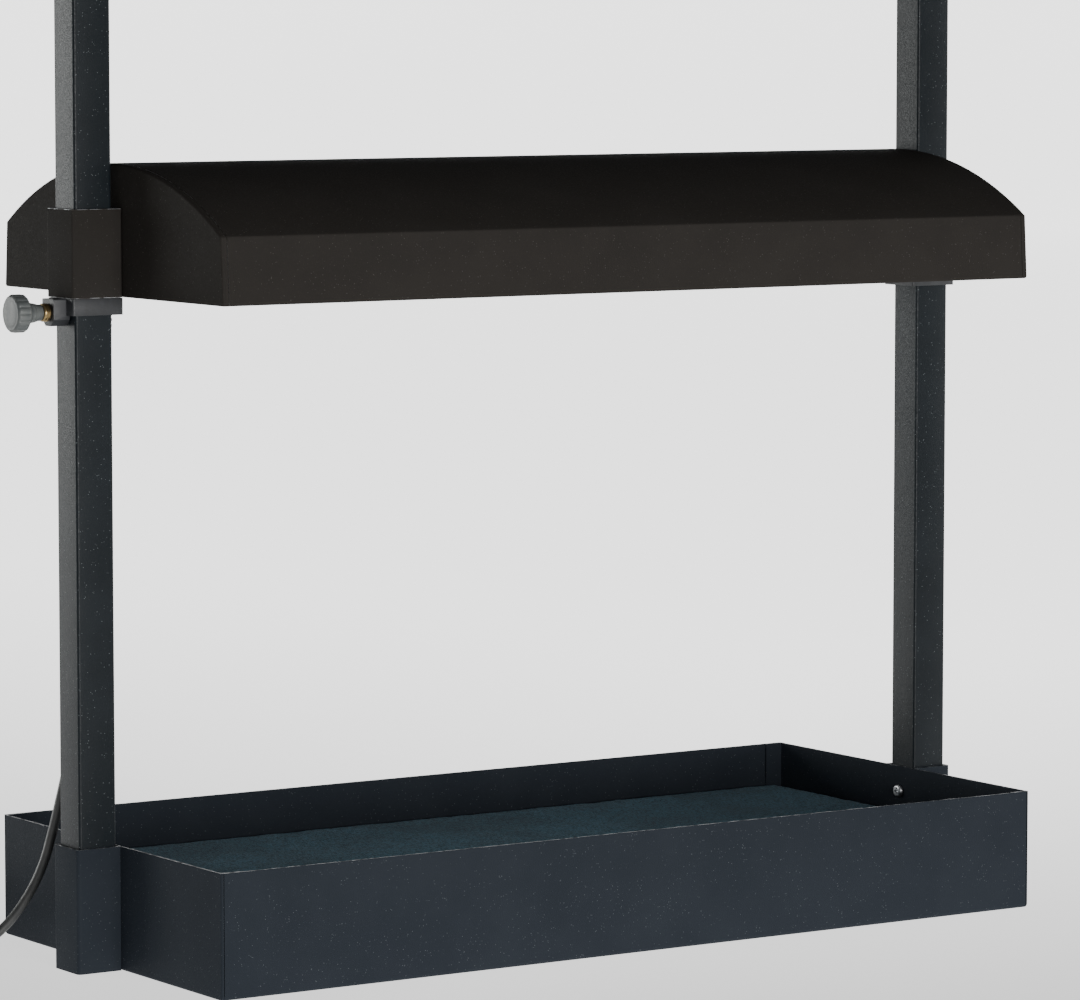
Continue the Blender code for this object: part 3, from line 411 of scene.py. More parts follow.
def level_rings(stations, corner, steps, centre):
    """Rounded rectangles, each at its height, from (half width, half depth, height) stations."""
    rings = []
    for half_a, half_b, height in stations:
        line = rectangle(half_a, half_b, corner, steps, centre)
        rings.append([(a, b, height) for a, b in line])
    return rings


def toward(direction, origin):
    """The placement that takes +Z to direction, at origin."""
    turn = Vector((0, 0, 1)).rotation_difference(Vector(direction)).to_matrix().to_4x4()
    return Matrix.Translation(origin) @ turn


def turned(name, profile, steps, placement, closed=False):
    """(radius, height) points turned about the placement's Z axis."""
    rings = []
    for radius, height in profile:
        rings.append([placement @ Vector((a, b, height)) for a, b in circle(radius, steps)])
    return lofted(name, rings, closed)


def rectangle(half_a, half_b, corner, steps=5, centre=(0, 0)):
    points = []
    for quarter, (sa, sb) in enumerate(((1, 1), (-1, 1), (-1, -1), (1, -1))):
        for i in range(steps + 1):
            angle = (quarter + i / steps) * pi / 2
            a = centre[0] + sa * (half_a - corner) + corner * cos(angle)
            b = centre[1] + sb * (half_b - corner) + corner * sin(angle)
            points.append((a, b))
    return points


def bent(path, radius, closed=False, steps=5):
    """(point, left normal) pairs along a flat path whose corners are rounded to radius."""
    points = [Vector(point) for point in path]
    count = len(points)
    pairs = []
    for i, point in enumerate(points):
        at_end = not closed and i in (0, count - 1)
        before = points[i] - points[i - 1] if closed or i else points[1] - points[0]
        after = points[(i + 1) % count] - point if closed or i < count - 1 else before
        before, after = before.normalized(), after.normalized()
        turn = atan2(before.x * after.y - before.y * after.x, before.dot(after))
        if at_end or abs(turn) < radians(5):
            middle = (before + after).normalized()
            pairs.append((point, Vector((-middle.y, middle.x))))
            continue
        side = 1 if turn > 0 else -1
        normal = Vector((-before.y, before.x))
        centre = point - before * radius * tan(abs(turn) / 2) + normal * radius * side
        for k in range(steps + 1):
            now = Matrix.Rotation(turn * k / steps, 2) @ normal
            pairs.append((centre - now * radius * side, now))
    return pairs


def folded(path, sheet, radius):
    """The closed outline of sheet metal that follows the middle line path, with rounded bends."""
    pairs = bent(path, radius)
    left = [tuple(point + normal * sheet / 2) for point, normal in pairs]
    right = [tuple(point - normal * sheet / 2) for point, normal in pairs]
    return [*left, *right[::-1]]


def rounded(path, radius):
    return [tuple(point) for point, _ in bent(path, radius, closed=True)]


def solid_box(name, low, high):
    half = [(b - a) / 2 for a, b in zip(low, high)]
    middle = [(a + b) / 2 for a, b in zip(low, high)]
    corner = min(half[0], half[1]) * 0.02
    return extruded(name, [rectangle(half[0], half[1], corner, 1, middle[:2])], "Z", low[2], high[2])


def settle(obj):
    """Makes the modifiers' result the object's own mesh, and clears away its cutters."""
    graph = bpy.context.evaluated_depsgraph_get()
    result = bpy.data.meshes.new_from_object(obj.evaluated_get(graph))
    cutters = [m.object for m in obj.modifiers if m.type == "BOOLEAN"]
    obj.modifiers.clear()
    obj.data = result
    for cutter in cutters:
        bpy.data.objects.remove(cutter)
    return obj


def combine(obj, operation, *others):
    for other in others:
        modifier = obj.modifiers.new(other.name, "BOOLEAN")
        modifier.operation = operation
        modifier.object = other
    return settle(obj)


def cut(obj, *cutters):
    return combine(obj, "DIFFERENCE", *cutters)


def drill(radius, length, direction, origin, steps=28):
    """A round cutter that starts at origin and goes along direction."""
    return turned("drill", ((radius, 0), (radius, length)), steps, toward(direction, origin))


def softened(obj, width, segments=2, angle=0.6):
    modifier = obj.modifiers.new("edges", "BEVEL")
    modifier.width = width
    modifier.segments = segments
    modifier.limit_method = "ANGLE"
    modifier.angle_limit = angle
    return settle(obj)


def dress(obj, look, body, *nodes, angle=0.5):
    """Gives a finished piece its material and its body, and hides the CAD nodes that it stands for."""
    obj.data.materials.clear()
    obj.data.materials.append(LOOKS[look])
    obj.data.shade_smooth()
    obj.data.set_sharp_from_angle(angle=angle)
    if body:
        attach(obj, body)
    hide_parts(*nodes)
    return obj


def second_look(obj, look, chosen):
    """Gives look to the faces for which chosen(centre, normal) is true."""
    obj.data.materials.append(LOOKS[look])
    for face in obj.data.polygons:
        if chosen(face.center, face.normal):
            face.material_index = 1
    return obj


# The mains cord


def smooth_route(stops, spacing):
    """Points about spacing apart on a smooth curve through the stops."""
    ends = [2 * stops[0] - stops[1], *stops, 2 * stops[-1] - stops[-2]]
    points = []
    for before, a, b, after in zip(ends, ends[1:], ends[2:], ends[3:]):
        count = max(2, round((b - a).length / spacing))
        for i in range(count):
            t = i / count
            linear = (b - before) * t
            square = (2 * before - 5 * a + 4 * b - after) * t**2
            cube = (3 * a - before - 3 * b + after) * t**3
            points.append(0.5 * (2 * a + linear + square + cube))
    return [*points, stops[-1]]


def swept(name, points, radius, steps=14, taper=None):
    """A round tube through points. taper, if given, is its radius at each point."""
    rings = []
    side = Vector((1, 0, 0))
    for i, point in enumerate(points):
        ahead = (points[min(i + 1, len(points) - 1)] - points[max(i - 1, 0)]).normalized()
        side = (side - ahead * side.dot(ahead)).normalized()
        up = ahead.cross(side)
        reach = taper[i] if taper else radius
        rings.append([point + side * a + up * b for a, b in circle(reach, steps)])
    return lofted(name, rings)


def coil_route():
    """Clockwise turns, seen from above: inwards on the floor, up, and outwards on top of those."""
    low = CORD_RADIUS + 0.2 * MM
    high = low + 2 * CORD_RADIUS + 0.25 * MM
    outer = COIL_OUTER - CORD_RADIUS
    inner_turn = 3.5
    last_turn = 5.25
    exit_radius = outer - COIL_PITCH
    steps = 36
    points = []
    for i in range(int(last_turn * steps) + 1):
        turn = i / steps
        if turn <= inner_turn:
            radius = outer - COIL_PITCH * turn
        else:
            inner = outer - COIL_PITCH * inner_turn
            share = (turn - inner_turn) / (last_turn - 1 - inner_turn)
            radius = inner + (exit_radius - COIL_PITCH - inner) * share
            if turn > last_turn - 1:
                radius = exit_radius - COIL_PITCH * (last_turn - turn)
        climb = min(max((turn - inner_turn + 0.5) / 0.5, 0), 1)
        level = low + (high - low) * climb * climb * (3 - 2 * climb)
        angle = radians(COIL_ENTRY) - 2 * pi * turn
        points.append(COIL_CENTRE + Vector((radius * cos(angle), radius * sin(angle), level)))
    return points


def plug_placement():
    """The plug's own frame: its origin where the cord enters, its +Y towards the pins."""
    angle = radians(COIL_EXIT)
    turn_radius = COIL_OUTER - CORD_RADIUS - COIL_PITCH
    heading = Vector((sin(angle), -cos(angle), 0))
    clear = sqrt((COIL_OUTER + GAP) ** 2 - (turn_radius - PLUG_BACK) ** 2)
    seat = COIL_CENTRE + turn_radius * Vector((cos(angle), sin(angle), 0)) + clear * heading
    seat.z = 10.3 * MM
    return Matrix.Translation(seat) @ Matrix.Rotation(angle - pi, 4, "Z")


def make_cord():
    """The whole mains cord, from the strain relief down to the coil and on to the plug."""
    start = GLAND.z - GLAND_TAIL - GAP
    lie = CORD_RADIUS + 0.2 * MM
    stops = [
        (GLAND.x, GLAND.y, start),
        (GLAND.x, GLAND.y, start - 30 * MM),
        (-0.292, 0.031, 0.32),
        (-0.295, 0.033, 0.24),
        (-0.301, 0.039, 0.17),
        (-0.308, 0.047, 0.12),
        (-0.3115, 0.055, 0.089),
        (-0.313, 0.0595, 0.075),
        (-0.3155, 0.0635, 0.06),
        (-0.32, 0.068, 0.045),
        (-0.327, 0.072, 0.031),
        (-0.336, 0.077, 0.018),
        (-0.347, 0.082, 0.008),
        (-0.358, 0.0885, 0.004),
        (-0.368, 0.097, lie),
    ]
    coil = coil_route()
    route = smooth_route([*[Vector(stop) for stop in stops], coil[0]], 5 * MM)[:-1]
    seat = plug_placement()
    into_plug = [seat @ Vector((0, y, 0)) for y in (-2 * MM, 3 * MM)]
    lead = smooth_route([coil[-2], coil[-1], *into_plug], 5 * MM)[2:]
    route = [*route, *coil[:-1], *lead]
    cord = swept("mains_cord", route, CORD_RADIUS)
    dress(cord, "cord", None, "power_cord", "cord_coil", angle=1.2)
    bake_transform(cord)
    pieces = [make_tie(), *make_plug(seat)]
    pieces.append(make_gland())


def make_tie():
    """A twist tie round the coil's turns, on its -X side."""
    middle = COIL_OUTER - CORD_RADIUS - 1.5 * COIL_PITCH
    half = 1.5 * COIL_PITCH + CORD_RADIUS + 0.9 * MM
    low = 0.4 * MM
    high = 13.6 * MM
    angle = radians(185)
    out = Vector((cos(angle), sin(angle), 0))
    across = Vector((-sin(angle), cos(angle), 0))
    centre = COIL_CENTRE + middle * out
    outline = rectangle(half, (high - low) / 2, 3 * MM, 6)
    inner = rectangle(half - 0.6 * MM, (high - low) / 2 - 0.4 * MM, 2.6 * MM, 6)
    rings = []
    width = 2.4 * MM
    for line, shift in ((outline, -width), (outline, width), (inner, width), (inner, -width)):
        ring = []
        for a, b in line:
            ring.append(centre + out * a + across * shift + Vector((0, 0, b + (low + high) / 2)))
        rings.append(ring)
    tie = lofted("coil_tie", rings, closed=True)
    return dress(tie, "rubber", "base", angle=0.7)


def make_plug(seat):
    """A moulded plug: a ribbed flexible neck, a gripped body, a recessed face and three pins."""
    stations = [(0, 4.2, 4.2), (0.4, 4.4, 4.4)]
    for i in range(5):
        y = 1.6 + 2.8 * i
        neck = 4.5 + 0.05 * i
        stations += [(y, neck, neck), (y + 0.3, neck - 0.9, neck - 0.9)]
        stations += [(y + 1.1, neck - 0.9, neck - 0.9), (y + 1.4, neck, neck)]
    stations += [(16, 4.8, 4.8), (17.4, 7.4, 6.6), (19, 9.6, 8.2), (21, 11.6, 9.4), (23.5, 12.5, 9.9)]
    for i in range(4):
        y = 26 + 3 * i
        stations += [(y, 12.5, 9.9), (y + 0.5, 11.9, 9.9), (y + 1.3, 11.9, 9.9), (y + 1.8, 12.5, 9.9)]
    stations += [(41, 12.5, 9.9), (43, 12.3, 9.7), (43.8, 11.8, 9.2), (44, 11.2, 8.6)]
    stations += [(44, 10.6, 8.0), (43.4, 10.3, 7.7)]
    rings = []
    for y, half_x, half_z in stations:
        line = rectangle(half_x * MM, half_z * MM, min(half_x, half_z) * 0.6 * MM)
        rings.append([seat @ Vector((a, y * MM, b)) for a, b in line])
    body = lofted("mains_plug", rings)
    pieces = [dress(body, "rubber", "base", "plug_body", angle=0.6)]
    face = 43.4 * MM
    for label, offset in (("live", -6.35 * MM), ("neutral", 6.35 * MM)):
        rings = []
        for y, wide, thick in ((0, 3.2, 0.75), (15.2, 3.2, 0.75), (16.6, 2.7, 0.6), (17.2, 2.1, 0.35)):
            line = rectangle(thick * MM, wide * MM, 0.25 * MM, 2, (offset, 2 * MM))
            rings.append([seat @ Vector((a, face + y * MM, b)) for a, b in line])
        pin = lofted(f"plug_blade_{label}", rings)
        pieces.append(dress(pin, "brass", "base", f"plug_pin_{label}"))
    root = seat @ Vector((0, face, -4.6 * MM))
    direction = seat.to_3x3() @ Vector((0, 1, 0))
    profile = [(2.4 * MM, 0), (2.4 * MM, 18 * MM)]
    profile += [(2.4 * MM * cos(a), (18 + 2.4 * sin(a)) * MM) for a in (0.4, 0.8, 1.2, 1.5)]
    pin = turned("plug_ground_pin", profile, 24, toward(direction, root))
    pieces.append(dress(pin, "brass", "base", "plug_pin_earth"))
    return pieces


def make_gland():
    """A rubber strain relief, held in the end plate's lip by a groove, with a ribbed tail."""
    bore = CORD_RADIUS - 0.1 * MM
    profile = [(4.4, 7), (5.6, 6.2), (6.6, 4.2), (6.6, 2.5), (4.9, 2.2), (4.9, 0.8)]
    profile += [(6.6, 0.6), (6.6, -0.6), (6.2, -1.1), (5.4, -1.4)]
    ribs = 6
    for i in range(ribs):
        height = -2.6 - 3.6 * i
        radius = 5.1 - 1.0 * i / ribs
        profile += [(radius, height), (radius - 0.8, height - 0.5)]
        profile += [(radius - 0.8, height - 1.6), (radius - 0.1, height - 2.1)]
    profile += [(4.0, -25.6), (3.8, -26)]
    points = [*millimetres(profile), (bore, -GLAND_TAIL), (bore, 7 * MM)]
    gland = turned("strain_relief", points, 32, Matrix.Translation(GLAND), closed=True)
    return dress(gland, "rubber", "hood", "cord_gland", angle=0.6)


# The tray, the posts and what lies in the tray


def tray_line(inset, top):
    half = TRAY_HALF - inset
    return [(-half, top), (-half, inset), (half, inset), (half, top)]


def make_pan():
    middle = TRAY_SHEET / 2
    outline = folded(tray_line(middle, TRAY_TOP), TRAY_SHEET, TRAY_BEND - middle)
    pan = extruded("tray_sheet", [outline], "X", -PAN_END, PAN_END)
    dress(pan, "tray", "base", "tray_pan")

    def bare(centre, normal):
        return abs(normal.x) > FACING or centre.z > TRAY_TOP - 0.1 * MM

    second_look(pan, "tray_edge", bare)


def end_plate(name, line, side, face, rim, reach, sheet, bend):
    """A folded end: a plate, a rounded corner, a rim flush with the body, and a tab under its sheet."""
    under = sheet + GAP
    stations = []
    for i in range(6):
        angle = i / 5 * pi / 2
        stations.append((bend * (1 - cos(angle)), bend * (1 - sin(angle))))
    stations += [(rim, 0), (rim, under), (reach, under), (reach, under + sheet), (sheet, under + sheet)]
    rings = []
    for depth, inset in stations:
        rings.append([(side * (face - depth), a, b) for a, b in line(inset)])
    return lofted(name, rings)


def make_tray_end(side, label):
    beyond = TRAY_TOP + 20 * MM

    def line(inset):
        return rounded(tray_line(inset, beyond), max(TRAY_BEND - inset, 0.5 * MM))

    end = end_plate(f"end_sheet_{label}", line, side, TRAY_END, 2.0 * MM, 14 * MM, TRAY_SHEET, 1.6 * MM)
    top = solid_box("above", (-1, -1, TRAY_TOP), (1, 1, 1))
    holes = []
    for height in SCREW_HEIGHTS.values():
        holes.append(drill(2.8 * MM, 8 * MM, (side, 0, 0), (side * (TRAY_END - 4 * MM), 0, height)))
    cut(end, top, *holes)
    dress(end, "tray", "base", f"tray_end_{label}")

    def bare(centre, normal):
        return normal.z > FACING and centre.z > TRAY_TOP - 0.1 * MM

    second_look(end, "tray_edge", bare)


def make_socket(side, label):
    """A post's socket: a folded U of sheet against the tray's end, with a floor plate in it."""
    low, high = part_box(f"socket_{label}")
    inner, outer = sorted((abs(low.x), abs(high.x)))
    middle = SOCKET_WALL / 2
    half = high.y - middle
    far = side * (outer - middle)
    path = [(side * inner, -half), (far, -half), (far, half), (side * inner, half)]
    walls = extruded(f"socket_sheet_{label}", [folded(path, SOCKET_WALL, 1.9 * MM)], "Z", 0, TRAY_TOP)
    room = high.y - SOCKET_WALL - 0.1 * MM
    xs = sorted((side * inner, side * (outer - SOCKET_WALL - 0.1 * MM)))
    floor = solid_box(f"socket_floor_{label}", (xs[0], -room, 0), (xs[1], room, SOCKET_WALL))
    dress(walls, "tray", "base", f"socket_{label}")
    second_look(walls, "tray_edge", lambda centre, normal: normal.z > FACING)
    dress(floor, "tray", "base")


def make_post(side, label):
    rings = []
    for half, corner in ((POST_HALF, POST_BEND), (POST_HALF - POST_WALL, POST_BEND / 2)):
        rings.append(rectangle(half, half, corner, 6, (side * POST_X, 0)))
    post = extruded(f"post_tube_{label}", rings, "Z", POST_LOW, POST_TOP)
    holes = []
    for height in SCREW_HEIGHTS.values():
        start = (side * (POST_X - POST_HALF - 4 * MM), 0, height)
        holes.append(drill(2.8 * MM, 8 * MM, (side, 0, 0), start))
    cut(post, *holes)
    dress(post, "post", "base", f"post_{label}")
    second_look(post, "tray_edge", lambda centre, normal: abs(normal.z) > FACING)
    make_post_cap(side, label)
    for level, height in SCREW_HEIGHTS.items():
        make_post_screw(side, f"{label}_{level}", height)


def make_post_cap(side, label):
    """A moulded plug in the post's top: a softly domed head, and a tapered shank with barbs."""
    shank = POST_HALF - POST_WALL - GAP
    sizes = [(5, 2.6), (9, 2.6), (11.4, 2.3), (12.3, 1.6), (12.7, 0.9), (12.7, 0), (10.9, 0), (10.9, -2)]
    for i in range(3):
        top = -2.5 - 3 * i
        sizes += [(shank / MM, top), (shank / MM - 0.7, top - 2)]
    sizes += [(shank / MM - 1, -12)]
    low = POST_TOP + GAP
    stations = [(half * MM, half * MM, low + height * MM) for half, height in sizes]
    cap = lofted(f"post_plug_{label}", level_rings(stations, POST_BEND, 5, (side * POST_X, 0)))
    dress(cap, "plastic", "base", f"post_cap_{label}", angle=0.7)


def screw(name, placement, head_radius, head, shank, length, dome, recess):
    """A pan-head screw along +Z, its head's underside at z = 0, with a cross recess and a thread."""
    profile = [(0.4 * MM, head)]
    for i in range(6):
        angle = pi / 2 * (1 - i / 5)
        profile.append((head_radius - dome + dome * cos(angle), head - dome + dome * sin(angle)))
    profile += [(head_radius, 0), (shank, 0)]
    pitch = 0.8 * MM
    threads = int((length - 2 * MM) / pitch)
    for i in range(threads):
        top = -0.6 * MM - i * pitch
        profile += [(shank, top), (shank - 0.35 * MM, top - pitch / 2)]
    profile += [(shank - 0.2 * MM, -length + 0.9 * MM), (shank - 0.9 * MM, -length)]
    made_screw = turned(name, profile, 32, placement)
    arm = 0.5 * MM
    cutters = []
    for half_a, half_b in ((recess, arm), (arm, recess)):
        slot = extruded("slot", [rectangle(half_a, half_b, 0.1 * MM, 1)], "Z", head - 1.3 * MM, head + MM)
        slot.data.transform(placement)
        cutters.append(slot)
    return cut(made_screw, *cutters)


def make_post_screw(side, label, height):
    placement = toward((-side, 0, 0), (side * (TRAY_END - TRAY_SHEET - GAP), 0, height))
    post_screw = screw(
        f"screw_{label}",
        placement,
        head_radius=4.4 * MM,
        head=2.2 * MM,
        shank=2.5 * MM,
        length=13 * MM,
        dome=1.5 * MM,
        recess=2.2 * MM,
    )
    dress(post_screw, "zinc", "base", f"post_screw_{label}")


def make_liner():
    """A vacuum-formed liner with a small rolled rim and a ribbed floor."""
    low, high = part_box("water_liner")
    wall = 1.5 * MM
    draft = 1.5 * MM

    def ring(shrink, height, corner):
        return [(a, b, height) for a, b in rectangle(high.x - shrink, high.y - shrink, corner, 8)]

    outside = [(draft + 2 * MM, low.z), (draft + 0.6 * MM, low.z + 0.5 * MM), (draft, low.z + 2 * MM)]
    outside += [(0.3 * MM, high.z - 1.2 * MM), (0, high.z - 0.8 * MM), (0, high.z - 0.3 * MM)]
    outside += [(0.3 * MM, high.z), (wall - 0.3 * MM, high.z), (wall, high.z - 0.3 * MM)]
    inside = [(draft + wall, low.z + 3.5 * MM), (draft + wall + 0.6 * MM, low.z + 2 * MM)]
    inside.append((draft + wall + 2 * MM, low.z + wall))
    rings = [ring(shrink, height, 6 * MM) for shrink, height in outside]
    rings += [ring(shrink, height, 5 * MM) for shrink, height in inside]
    liner = lofted("liner_moulding", rings)
    ribs = []
    for i in range(-3, 4):
        x = i * 78 * MM
        start = (x - 4 * MM, -110 * MM, low.z - MM)
        end = (x + 4 * MM, 110 * MM, low.z + 0.6 * MM)
        ribs.append(solid_box("rib", start, end))
    cut(liner, *ribs)
    dress(liner, "plastic", "base", "water_liner", angle=0.7)


def make_deck():
    """The deck that the mat lies on: a plate on legs, with a slot for the wick."""
    low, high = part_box("mat_deck")
    deck = extruded("deck_plate", [rectangle(high.x, high.y, 6 * MM, 6)], "Z", high.z - 2.4 * MM, high.z)
    softened(deck, 0.5 * MM, 2)
    legs = []
    half = 5 * MM
    for y in (-high.y * 0.7, high.y * 0.55):
        for column in range(4):
            x = high.x * 0.85 * (2 * column / 3 - 1)
            outline = rectangle(half, half, 1.2 * MM, 4, (x, y))
            legs.append(extruded("leg", [outline], "Z", low.z, high.z - 1.4 * MM))
    combine(deck, "UNION", *legs)
    opening = rectangle(34 * MM, 3 * MM, 1.4 * MM, 4, (0, high.y - WICK_INSET))
    slot = extruded("slot", [opening], "Z", 0, 0.1)
    cut(deck, slot)
    dress(deck, "plastic", "base", "mat_deck")


def make_mat():
    """A felt mat, softly uneven, with a frayed edge and a wick that hangs through the deck."""
    low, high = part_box("capillary_mat")
    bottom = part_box("mat_deck")[1].z + GAP
    top = high.z
    columns, rows = 150, 66
    edge = 1.2 * MM

    def surface(i, j):
        x = -high.x + 2 * high.x * i / columns
        y = low.y + (high.y - low.y) * j / rows
        rim = i in (0, columns) or j in (0, rows)
        stray = noise.noise(Vector((x, y, 0)) * 220) * 0.5 * MM - 0.5 * MM if rim else 0
        if i in (0, columns):
            x += stray if i else -stray
        if j in (0, rows):
            y += stray if j else -stray
        lift = (noise.noise(Vector((x, y, 1)) * 55) - 0.6) * 0.5 * MM
        lift += noise.noise(Vector((x, y, 3)) * 400) * 0.18 * MM
        return Vector((x, y, min(top + lift - (edge if rim else 0), top)))

    def build(bm):
        upper = [[bm.verts.new(surface(i, j)) for j in range(rows + 1)] for i in range(columns + 1)]
        for i in range(columns):
            for j in range(rows):
                bm.faces.new((upper[i][j], upper[i + 1][j], upper[i + 1][j + 1], upper[i][j + 1]))
        rim = [upper[i][0] for i in range(columns)] + [upper[columns][j] for j in range(rows)]
        rim += [upper[i][rows] for i in range(columns, 0, -1)] + [upper[0][j] for j in range(rows, 0, -1)]
        under = [bm.verts.new((vert.co.x, vert.co.y, bottom)) for vert in rim]
        loop_walls(bm, rim, under)
        bm.faces.new(under)

    mat = made("felt_mat", build)
    wick_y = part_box("mat_deck")[1].y - WICK_INSET
    wick = rectangle(32 * MM, 1.3 * MM, 0.5 * MM, 3, (0, wick_y))
    rings = []
    for i in range(9):
        z = low.z + (bottom + MM - low.z) * i / 8
        sway = 0.5 * MM * sin(i * 0.9)
        rings.append([(a, b + sway, z) for a, b in wick])
    combine(mat, "UNION", lofted("wick", rings))
    dress(mat, "felt", "base", "capillary_mat", angle=1.2)


# The hood


def hood_line(inset):
    """The hood's outer line in Y and Z, moved inwards by inset: flange, arch, flange."""
    steps = 40
    radius = (HOOD_HALF**2 + HOOD_RISE**2) / (2 * HOOD_RISE)
    centre = HOOD + HOOD_FLANGE + HOOD_RISE - radius
    lean = HOOD_LEAN / HOOD_FLANGE
    top_half = HOOD_HALF - inset * hypot(1, lean)
    span_angle = asin(top_half / (radius - inset))
    arch = []
    for i in range(steps + 1):
        angle = -span_angle + 2 * span_angle * i / steps
        arch.append(((radius - inset) * sin(angle), centre + (radius - inset) * cos(angle)))
    foot = top_half + lean * (HOOD_FLANGE - inset)
    return [(-foot, HOOD + inset), *arch, (foot, HOOD + inset)]


def make_shell():
    middle = HOOD_SHEET / 2
    line = hood_line(middle)
    lip = line[-1][0] - HOOD_LIP
    path = [(-lip, HOOD + middle), *line, (lip, HOOD + middle)]
    shell = extruded("hood_sheet", [folded(path, HOOD_SHEET, 1.1 * MM)], "X", -SHELL_END, SHELL_END)
    dress(shell, "hood", "hood", "hood_shell", angle=0.4)
    second_look(shell, "hood_edge", lambda centre, normal: abs(normal.x) > FACING)


def make_hood_end(side, label):
    rim = HOOD_END - SHELL_END - GAP

    def line(inset):
        return rounded(hood_line(inset), max(1.5 * MM - inset, 0.3 * MM))

    end = end_plate(f"hood_end_sheet_{label}", line, side, HOOD_END, rim, HOOD_TAB, HOOD_SHEET, 1.4 * MM)
    if side < 0:
        cut(end, drill(5.3 * MM, 12 * MM, (0, 0, 1), GLAND - Vector((0, 0, 6 * MM))))
    dress(end, "hood", "hood", f"hood_end_{label}", angle=0.4)


def make_rib(label):
    inset = HOOD_SHEET + GAP + 0.6 * MM
    line = hood_line(inset)[1:-1]
    low, high = span(f"hood_rib_{label}", 0)
    rib = extruded(f"rib_strip_{label}", [folded(line, 1.2 * MM, 2 * MM)], "X", low, high)
    cut(rib, drill(CLIP_HOLE, 0.1, (0, 0, 1), (RIB_X[label], 0, LAMP_LOW)))
    softened(rib, 0.2 * MM, 1)
    dress(rib, "zinc", "hood", f"hood_rib_{label}", angle=0.4)


def make_sleeve(label):
    """The folded sleeve on the hood's end, its cut edges bare at the top and the bottom."""
    low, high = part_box(f"sleeve_{label}")
    centre = ((low.x + high.x) / 2, 0)
    half_x = (high.x - low.x) / 2
    rings = [
        rectangle(half_x, high.y, 1.5 * MM, 6, centre),
        rectangle(half_x - SLEEVE_WALL, high.y - SLEEVE_WALL, 0.6 * MM, 6, centre),
    ]
    sleeve = extruded(f"sleeve_sheet_{label}", rings, "Z", low.z, high.z)
    softened(sleeve, 0.25 * MM, 2, 1.0)
    dress(sleeve, "hood", "hood", f"sleeve_{label}")
    edge = 0.3 * MM

    def bare(centre, normal):
        return centre.z < low.z + edge or centre.z > high.z - edge

    second_look(sleeve, "hood_edge", bare)


def make_bush(side, node, name, clamped):
    """A moulded bush: a shank inside the sleeve, a collar below it, and on one the clamp's block."""
    wall = POST_HALF + 1.9 * MM
    shank_in = HOOD_END + 2 * GAP + SLEEVE_WALL
    centre = side * (shank_in + POST_X + wall) / 2
    half_x = (POST_X + wall - shank_in) / 2
    top = span(f"sleeve_{'left' if side < 0 else 'right'}", 2)[1] - 2 * MM
    bush = extruded(name, [rectangle(half_x, wall, 1 * MM, 4, (centre, 0))], "Z", HOOD - 1.3 * MM, top)
    collar_in = POST_X - POST_HALF - 6 * MM
    collar_out = POST_FACE + 3.3 * MM
    collar_half = (collar_out - collar_in) / 2
    collar_centre = side * (collar_out + collar_in) / 2
    outline = rectangle(collar_half, POST_HALF + 3.1 * MM, 1.2 * MM, 4, (collar_centre, 0))
    collar = extruded("collar", [outline], "Z", HOOD - 10.5 * MM, HOOD - GAP)
    softened(collar, 0.5 * MM, 2)
    added = [collar]
    if clamped:
        half = 7.3 * MM
        chamfer = 4 * MM
        top_z = HOOD - GAP
        bottom = top_z - 16.6 * MM
        path = [(-half, top_z), (-half, bottom + chamfer), (-half + chamfer, bottom)]
        path += [(half - chamfer, bottom), (half, bottom + chamfer), (half, top_z)]
        ends = sorted((side * (POST_FACE + MM), side * (POST_FACE + 12 * MM)))
        block = extruded("block", [rounded(path, 0.8 * MM)], "X", *ends)
        softened(block, 0.5 * MM, 2)
        added.append(block)
    combine(bush, "UNION", *added)
    room = POST_HALF + 0.4 * MM
    outline = rectangle(room, room, POST_BEND, 5, (side * POST_X, 0))
    bore = extruded("bore", [outline], "Z", HOOD - 0.03, HOOD + 0.1)
    cutters = [bore]
    if clamped:
        start = (side * (POST_FACE - MM), 0, CLAMP_Z)
        cutters.append(drill(5 * MM, 6.1 * MM, (side, 0, 0), start))
        cutters.append(drill(4.3 * MM, 20 * MM, (side, 0, 0), start))
    cut(bush, *cutters)
    dress(bush, "plastic", "hood", node)


